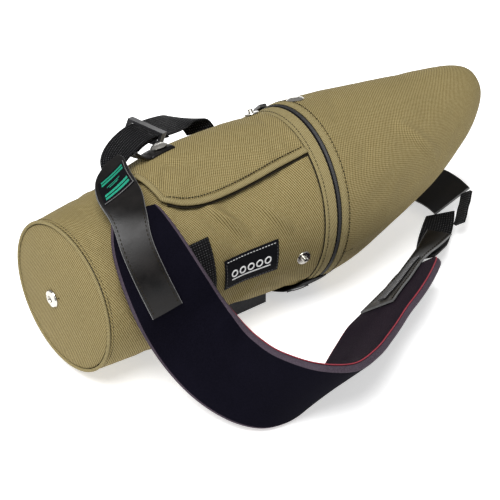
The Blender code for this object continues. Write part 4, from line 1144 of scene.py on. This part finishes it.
# ---- fabric patches on the case
def patch_solid(name, s0, s1, t0, t1, rfun, offset, thick, mats, body, ns=20, nt=24, edge=1.2, ids=(0, 1, 0), puff=0.0, uvr=60.0):
    rings, uvs = [], []
    for i in range(ns + 1):
        s = s0 + (s1 - s0) * i / ns
        ring, row = [], []
        es = min(1.0, (min(s - s0, s1 - s) + 0.25) / edge) ** 0.5
        T = [t0 + (t1 - t0) * j / nt for j in range(nt + 1)]
        for t in T:
            et = min(1.0, ((min(t - t0, t1 - t)) * uvr * math.pi / 180 + 0.25) / edge) ** 0.5
            ring.append(tuple(on_case(s, t, rfun(s, t) + offset + thick * min(es, et) + puff * math.sin(math.pi * i / ns) * math.sin(math.pi * (t - t0) / (t1 - t0)))))
            row.append((s, math.radians(t) * uvr))
        for t in reversed(T):
            ring.append(tuple(on_case(s, t, rfun(s, t) + offset)))
            row.append((s, math.radians(t) * uvr))
        rings.append(ring)
        uvs.append(row + [row[0]])
    return loft(name, rings, uvs, mats, body, sharp=55)


lab = patch_solid("side_label_cloth", 107.5, 157.0, -9.2, 15.3, case_r, 1.1, 0.75, "label_weave", "case")
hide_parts("side_label")
lr = lambda s, t: case_r(s, t) + 1.85
for nm, tt, mt in (("a", 13.4, "thread_white"), ("b", -7.4, "thread_grey")):
    stitched("label_stitches_" + nm, lr, dense((109.5, tt), (155.0, tt)), mt, "case", pitch=2.6, length=1.7, r=0.26)
for nm, ss in (("c", 109.0), ("d", 155.5)):
    stitched("label_stitches_" + nm, lr, dense((ss, -7.4), (ss, 13.4)), "thread_grey", "case", pitch=2.6, length=1.7, r=0.24)
# a plain woven motif: a row of rings and bars
for k in range(5):
    s_, t_ = 116.5 + 7.6 * k, 2.4
    pts, nr = [], []
    for q in range(28):
        an = 2 * math.pi * q / 28
        ds, dt = 2.5 * math.cos(an), 2.5 * math.sin(an) / (60.0 * math.pi / 180)
        pts.append(tuple(on_case(s_ + ds, t_ + dt, case_r(s_ + ds, t_ + dt) + 2.0)))
        nr.append(tuple(surface_normal(case_r, s_, t_)))
    tube("label_motif_ring_%d" % (k + 1), pts, 0.62, "thread_white", "case", seg=8, closed=True, normals=nr, flat=0.5)
patch_solid("label_motif_bar", 114.0, 149.4, -2.6, -1.7, case_r, 1.8, 0.35, "thread_white", "case", ns=30, nt=4, edge=0.5)

bw = patch_solid("belly_webbing_cloth", 80.0, 98.5, -84.0, 37.5, case_r, 1.0, 1.5, "webbing", "case", ns=12, nt=80, edge=0.8)
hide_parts("belly_webbing")
vs = patch_solid("closure_strip_cloth", 104.0, 175.0, 63.4, 71.6, case_r, 0.5, 0.6, "zip_tape", "case", ns=40, nt=8, edge=0.6)
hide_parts("flap_closure_strip")


# ---- zip gusset: the black bag under the zip's end, with its cord
def gusset_r(s, t, i, j):
    swell = 3.2 * math.sin(math.pi * min(max(j, 0.0), 1.0)) ** 0.8 * math.sin(math.pi * i) ** 0.7
    base = (case_r(min(s, 213.0), t) + 1.0) if s < 214.5 else hood_r(s) + 0.6
    return max(base, 67.9) + 0.9 + swell


def gusset():
    ns, nt = 28, 40
    P, UV = [], []
    for j in range(nt + 1):
        v = j / nt
        t = -40.0 - 66.0 * v
        spread = 0.35 + 0.65 * math.sin(math.pi * min(1.0, (8 * v + 1) / 6.0) * 0.5)
        row, uv = [], []
        for i in range(ns + 1):
            s = 206.0 + (i / ns - 0.5) * 44.0 * spread
            p = on_case(s, t, gusset_r(s, t, i / ns, v))
            row.append(tuple(p + radial(s, t) * lump(p, 0.7, 0.09, 4.0)))
            uv.append((s, math.radians(t) * 68.0))
        P.append(row)
        UV.append(uv)
    ob = grid("zip_gusset_cloth", P, UV, "gusset_cloth", None, outward=radial(206.0, -40.0), ride=False)
    subdivide(ob, 1)
    thicken(ob, 1.4)
    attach(ob, "case")
    return ob


gs = gusset()
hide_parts("zip_gusset")
cord_pts = []
for k in range(61):
    v = k / 60
    s = 190.0 + 26.0 * v
    t = -56.0 - 5.5 * math.sin(v * math.pi * 2.6)
    jv = (-40.0 - t) / 66.0
    spread = 0.35 + 0.65 * math.sin(math.pi * min(1.0, (8 * jv + 1) / 6.0) * 0.5)
    iv = (s - 206.0) / (44.0 * spread) + 0.5
    cord_pts.append(tuple(on_case(s, t, gusset_r(s, t, min(max(iv, 0.0), 1.0), jv) + 0.7)))
tube("gusset_piping_line", cord_pts, 0.45, "thread_grey", "case", seg=8)

# ---- leather tab under the top snap
lp = lambda s, t: top_r(s, t) + 0.5
tl = patch_solid("top_snap_leather", 97.0, 117.0, 108.6, 124.0, lp, 0.0, 2.2, "leather", "case", ns=16, nt=16, edge=1.6, uvr=72.0)
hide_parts("top_snap_loop")

# ---- hinge webs, anchors
for nm, s0, s1, t0, t1, rf, bd in (("cap_hinge_web_case", 57.8, 72.0, 170.0, 190.0, lambda s, t: 63.1 if s < 61 else case_r(s, t), "case"),
                                   ("cap_hinge_web_cap", 42.0, 56.8, 170.0, 190.0, lambda s, t: cap_r(s), "cap"),
                                   ("hood_hinge_web_case", 196.0, 212.0, 156.0, 170.0, lambda s, t: 68.9, "case"),
                                   ("hood_hinge_web_hood", 213.4, 230.0, 156.0, 170.0, lambda s, t: 68.9 - max(0.0, s - 224.0) * 0.05, "hood")):
    hw_ = patch_solid(nm + "_cloth", s0, s1, t0, t1, rf, 0.9, 1.2, "webbing", bd, ns=12, nt=16, edge=0.7)
    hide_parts(nm)
for nm, s0, s1, t0, t1 in (("anchor_tab_left", 178.0, 198.0, 170.5, 196.0), ("anchor_tab_right", 180.0, 198.0, 205.0, 222.0)):
    an = patch_solid(nm + "_leather", s0, s1, t0, t1, case_r, 1.0, 2.0, "leather", "case", ns=14, nt=18, edge=1.4)
    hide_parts(nm)
    stitched(nm + "_stitches", lambda s, t: case_r(s, t) + 3.0, dense((s0 + 2.5, t0 + 2.5), (s0 + 2.5, t1 - 2.5)), "thread_grey", "case", pitch=2.8)
    stitched(nm + "_stitches_b", lambda s, t: case_r(s, t) + 3.0, dense((s1 - 2.5, t0 + 2.5), (s1 - 2.5, t1 - 2.5)), "thread_grey", "case", pitch=2.8)

# ---------------------------------------------------------------- the strap
def pad_wave(u, q):
    return 0.35 * math.sin(9.0 * u + 1.5 * q) * (1 - abs(q)) + 0.25 * math.sin(31.0 * u + 2.0) * (0.4 + 0.6 * abs(q)) * 0.5


pad = band("strap_pad_foam", BAND, 0.085, 1.0, 200, pad_width, 0.65, 5.6, ["neoprene", "pad_edge"], "strap", cols=16, edge=2.2, crown=0.25,
           ids=(0, 1, 1), wave=pad_wave)
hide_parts("strap_pad")
pli = band("strap_pad_jersey", BAND, 0.086, 0.999, 200, lambda u: pad_width(u) - 3.0, -2.95, 1.1, ["ribbed_jersey"], "strap", cols=16, edge=0.5,
           ids=(0, 0, 0), wave=pad_wave)
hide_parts("strap_pad_lining")
for nm, sg in (("a", 1.0), ("b", -1.0)):
    pts, nr = [], []
    for k in range(181):
        u = k / 180
        c, w, nn = station(BAND, 0.088 + 0.91 * u)
        pts.append(tuple(c + nn * (-2.75 + pad_wave(u, sg * 0.9)) + w * sg * (pad_width(u) / 2 - 1.0)))
        nr.append(tuple(nn))
    tube("strap_red_piping_" + nm, pts, 0.5, "thread_red", "strap", seg=8, normals=nr)

LEATHER_W = [(0.0, 18.0), (0.04, 27.0), (0.10, 33.0), (0.20, 34.5), (0.32, 34.0), (0.46, 28.0), (0.62, 25.0), (1.0, 25.0)]
LEATHER_LAT = [(0.0, -5.0), (0.2, -6.8), (0.32, -7.4), (0.5, -5.8), (0.7, -7.0), (1.0, -7.5)]
lea = band("strap_leather_left_cut", TAB_LEFT, tab_t(-1.0), tab_t(5.2), 120, lambda u: curve_value(LEATHER_W, u), 5.4, 1.8,
           ["leather", "cut_edge"], "strap", lateral=lambda u: curve_value(LEATHER_LAT, u), cols=12, edge=0.5, ids=(0, 1, 0), crown=0.3)
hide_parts("strap_leather_left")


def band_line(route, t0, t1, width, lateral, offset, frac, n=160, inset=2.4, u0=0.0, u1=1.0):
    pts, nr = [], []
    for k in range(n + 1):
        u = u0 + (u1 - u0) * k / n
        c, w, nn = station(route, t0 + (t1 - t0) * u)
        ww = width(u) if callable(width) else width
        sd = lateral(u) if callable(lateral) else lateral
        x = frac * (ww / 2 - inset)
        pts.append(tuple(c + nn * offset + w * (sd + x)))
        nr.append(tuple(nn if offset > 0 else -nn))
    return pts, nr


for nm, fr in (("a", 1.0), ("b", -1.0)):
    p_, n_ = band_line(TAB_LEFT, tab_t(-1.0), tab_t(5.2), lambda u: curve_value(LEATHER_W, u), lambda u: curve_value(LEATHER_LAT, u), 6.45, fr,
                       u0=0.40, u1=0.985)
    stitches("strap_left_stitches_" + nm, p_, n_, "thread_dark", "strap", pitch=3.4, length=2.3, r=0.36)

RW = lambda u: curve_value([(0.0, 33.0), (0.25, 27.0), (0.5, 21.0), (1.0, 20.0)], u)
RL = lambda u: curve_value([(0.0, -8.5), (0.2, -8.0), (0.35, -5.0), (0.5, -2.5), (0.7, -1.0), (1.0, 0.0)], u)
ler = band("strap_leather_right_cut", TAB_END, 0.40, 1.0, 90, RW, -5.2, 1.7, ["leather", "cut_edge"], "strap", lateral=RL, cols=12, edge=0.5,
           ids=(0, 1, 0))
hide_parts("strap_leather_right")
for nm, fr in (("a", 1.0), ("b", -1.0)):
    p_, n_ = band_line(TAB_END, 0.40, 1.0, RW, RL, -6.1, fr, u0=0.03, u1=0.97)
    stitches("strap_right_stitches_" + nm, p_, n_, "thread_dark", "strap", pitch=3.0, length=2.0, r=0.36)
inl = band("strap_inlay_webbing", TAB_END, 0.45, 0.75, 50, 7.0, -6.9, 1.0, ["webbing_inlay"], "strap",
           lateral=lambda u: curve_value([(0.0, -7.5), (0.5, -5.0), (1.0, -1.5)], u), cols=6, edge=0.4, ids=(0, 0, 0))
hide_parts("strap_inlay_right")
LB0, LB1, LBX0, LBX1 = tab_t(-0.15), tab_t(0.92), -21.0, 8.0


def label_piece(name, f0, f1, x0, x1, off, th, mat, nf=16, nx=16, edge=0.6, slant=0.62):
    """A woven piece on the strap label, skewed the way the label is sewn on."""
    rings, uvs = [], []
    for k in range(nf + 1):
        f = f0 + (f1 - f0) * k / nf
        es = min(1.0, (min(k, nf - k) + 0.12) / 1.0) ** 0.5
        top, bot, row = [], [], []
        for q in range(nx + 1):
            x = x0 + (x1 - x0) * q / nx
            ff = f - slant * ((x - LBX0) / (LBX1 - LBX0) - 0.5)
            c, w, nn = station(TAB_LEFT, LB0 + (LB1 - LB0) * ff)
            ex = min(1.0, (min(q, nx - q) + 0.12) / 1.0) ** 0.5
            top.append(tuple(c + nn * (off + th * min(es, ex)) + w * x))
            bot.append(tuple(c + nn * off + w * x))
            row.append((f * 20.0, x))
        rings.append(top + bot[::-1])
        r2 = row + row[::-1]
        uvs.append(r2 + [r2[0]])
    return loft(name, rings, uvs, mat, "strap", sharp=50)


lbl = label_piece("strap_label_cloth", 0.0, 1.0, LBX0, LBX1, 6.55, 0.75, "label_weave")
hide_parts("strap_label")
for k, (f0, f1) in enumerate(((0.10, 0.18), (0.22, 0.30), (0.66, 0.74), (0.78, 0.86))):
    label_piece("strap_label_stripe_%d" % (k + 1), f0, f1, LBX0 + 2.5, LBX1 - 3.4, 7.2, 0.34, "thread_green", nf=3, nx=24)
for k, (f0, f1, a0, b0) in enumerate(((0.44, 0.47, 6.0, 20.0), (0.50, 0.53, 8.0, 18.0))):
    label_piece("strap_label_bar_%d" % (k + 1), f0, f1, LBX0 + a0, LBX0 + b0, 7.2, 0.22, "thread_green", nf=2, nx=10)
label_piece("strap_label_hem_a", 0.955, 0.985, LBX0 + 0.5, LBX1 - 0.5, 7.2, 0.3, "cut_edge", nf=2, nx=24)
label_piece("strap_label_hem_b", 0.02, 0.96, LBX1 - 1.6, LBX1 - 0.9, 7.2, 0.3, "cut_edge", nf=20, nx=2)

for nm, route, t0, t1, w_, off, th, mt, nd in (
        ("strap_webbing_left_weave", WEB_LEFT, 0.0, 1.0, WEB_W, 0.0, 1.5, "webbing", "strap_webbing_left"),
        ("strap_tail_left_weave", WEB_LEFT, 0.16, 0.52, WEB_W, 1.95, 1.5, "webbing", "strap_tail_left"),
        ("strap_webbing_right_weave", WEB_RIGHT, 0.05, 0.90, WEB_W, 0.0, 1.5, "webbing", "strap_webbing_right"),
        ("strap_tail_right_weave", TAIL_RIGHT, 0.0, 1.0, 15.0, 0.0, 2.6, "webbing", "strap_tail_right")):
    o_ = band(nm, route, t0, t1, 90, w_, off, th, [mt], "strap", cols=10, edge=0.55, ids=(0, 0, 0), wave=lambda u, q: 0.15 * math.sin(14 * u))
    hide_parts(nd)
tr = band("strap_tab_right_cut", TAB_RIGHT, 0.0, 0.955, 150, lambda u: 36.0 - 12.0 * min(1.0, max(0.0, (u - 0.2) / 0.5)), 0.0, 2.0,
          ["leather", "cut_edge"], "strap", cols=12, edge=0.4, ids=(0, 1, 0))
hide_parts("strap_tab_right")

# the short leather fold that runs from the snap's tab up into the strap
rings, uvs = [], []
for k in range(25):
    f = k / 24.0
    ss, hh = 101.0 - 15.0 * f, 2.6 + 9.6 * f * f
    ds, dh = -15.0, 19.2 * f
    L = math.hypot(ds, dh)
    ns_, nh_ = -dh / L, ds / L
    th = 0.9 * (1.0 if 0 < k < 24 else 0.45)
    row, back_, uv = [], [], []
    for q in range(13):
        t = 109.4 + 13.6 * q / 12.0
        e = th * (1.0 if 0 < q < 12 else 0.4)
        b0 = case_r(98.0, t) + 3.0 + hh
        row.append(tuple(on_case(ss + ns_ * e, t, b0 + nh_ * e)))
        back_.append(tuple(on_case(ss - ns_ * e, t, b0 - nh_ * e)))
        uv.append((f * 20.0, q * 1.3))
    rings.append(row + back_[::-1])
    uv = uv + uv[::-1]
    uvs.append(uv + [uv[0]])
sf = loft("snap_tab_fold", rings, uvs, "leather", "case", sharp=50)

# ------------------------------------------------------- finishes of CAD nodes
FINISH = {"black_plastic": "moulding", "nickel": "nickel", "grey_foam": "foam", "black_lining": "lining", "black_leather": "leather",
          "black_fabric": "lining", "olive_twill": "foam", "olive_binding": "foam", "black_webbing": "lining", "black_neoprene": "neoprene",
          "ribbed_neoprene": "lining", "woven_label": "lining"}
for sp in frame["record"]["subparts"]:
    ob = NODES[sp["node"]]
    m = FINISH.get(sp.get("material_slot"), "moulding")
    if sp["node"] == "foot_port_frame":
        m = "foot_cloth"
    if sp["node"].endswith("_slider"):
        m = "zip_metal"
    ob.data.materials.clear()
    ob.data.materials.append(MATS[m])

# ------------------------------------------------------------- floor and light
bpy.ops.mesh.primitive_circle_add(vertices=96, radius=9.0, fill_type='NGON', location=(0, 0, -0.0006))
fl = bpy.context.object
fl.name = "floor"
fl.data.materials.append(MATS["floor"])

sc = bpy.context.scene
sc.view_settings.view_transform = 'Standard'
w = bpy.data.worlds.new("studio")
sc.world = w
w.use_nodes = True
w.node_tree.nodes["Background"].inputs[0].default_value = (1.0, 1.0, 1.0, 1.0)
w.node_tree.nodes["Background"].inputs[1].default_value = 0.34


def sun(name, direction, strength, angle):
    li = bpy.data.lights.new(name, 'SUN')
    li.energy = strength
    li.angle = math.radians(angle)
    ob = bpy.data.objects.new(name, li)
    sc.collection.objects.link(ob)
    ob.rotation_euler = Vector(direction).to_track_quat('-Z', 'Y').to_euler()
    return ob


sun("key", (0.42, 0.18, -1.0), 4.1, 42.0)
sun("fill", (-0.5, 0.9, -0.45), 0.12, 70.0)

az, el, dist = math.radians(-37.06), math.radians(35.25), 2.5
back = Vector((math.sin(az) * math.cos(el), -math.cos(az) * math.cos(el), math.sin(el)))
cd = bpy.data.cameras.new("camera")
cam = bpy.data.objects.new("camera", cd)
sc.collection.objects.link(cam)
cd.lens = 3234.95 * 36.0 / 500.0
cd.sensor_width = 36.0
cd.clip_start, cd.clip_end = 0.1, 50.0
look = Vector(tuple(wpt((173.73, 0.0, 34.46))))
cam.location = look + back * dist
cam.rotation_mode = 'QUATERNION'
cam.rotation_quaternion = (-back).to_track_quat('-Z', 'Y')
sc.camera = cam
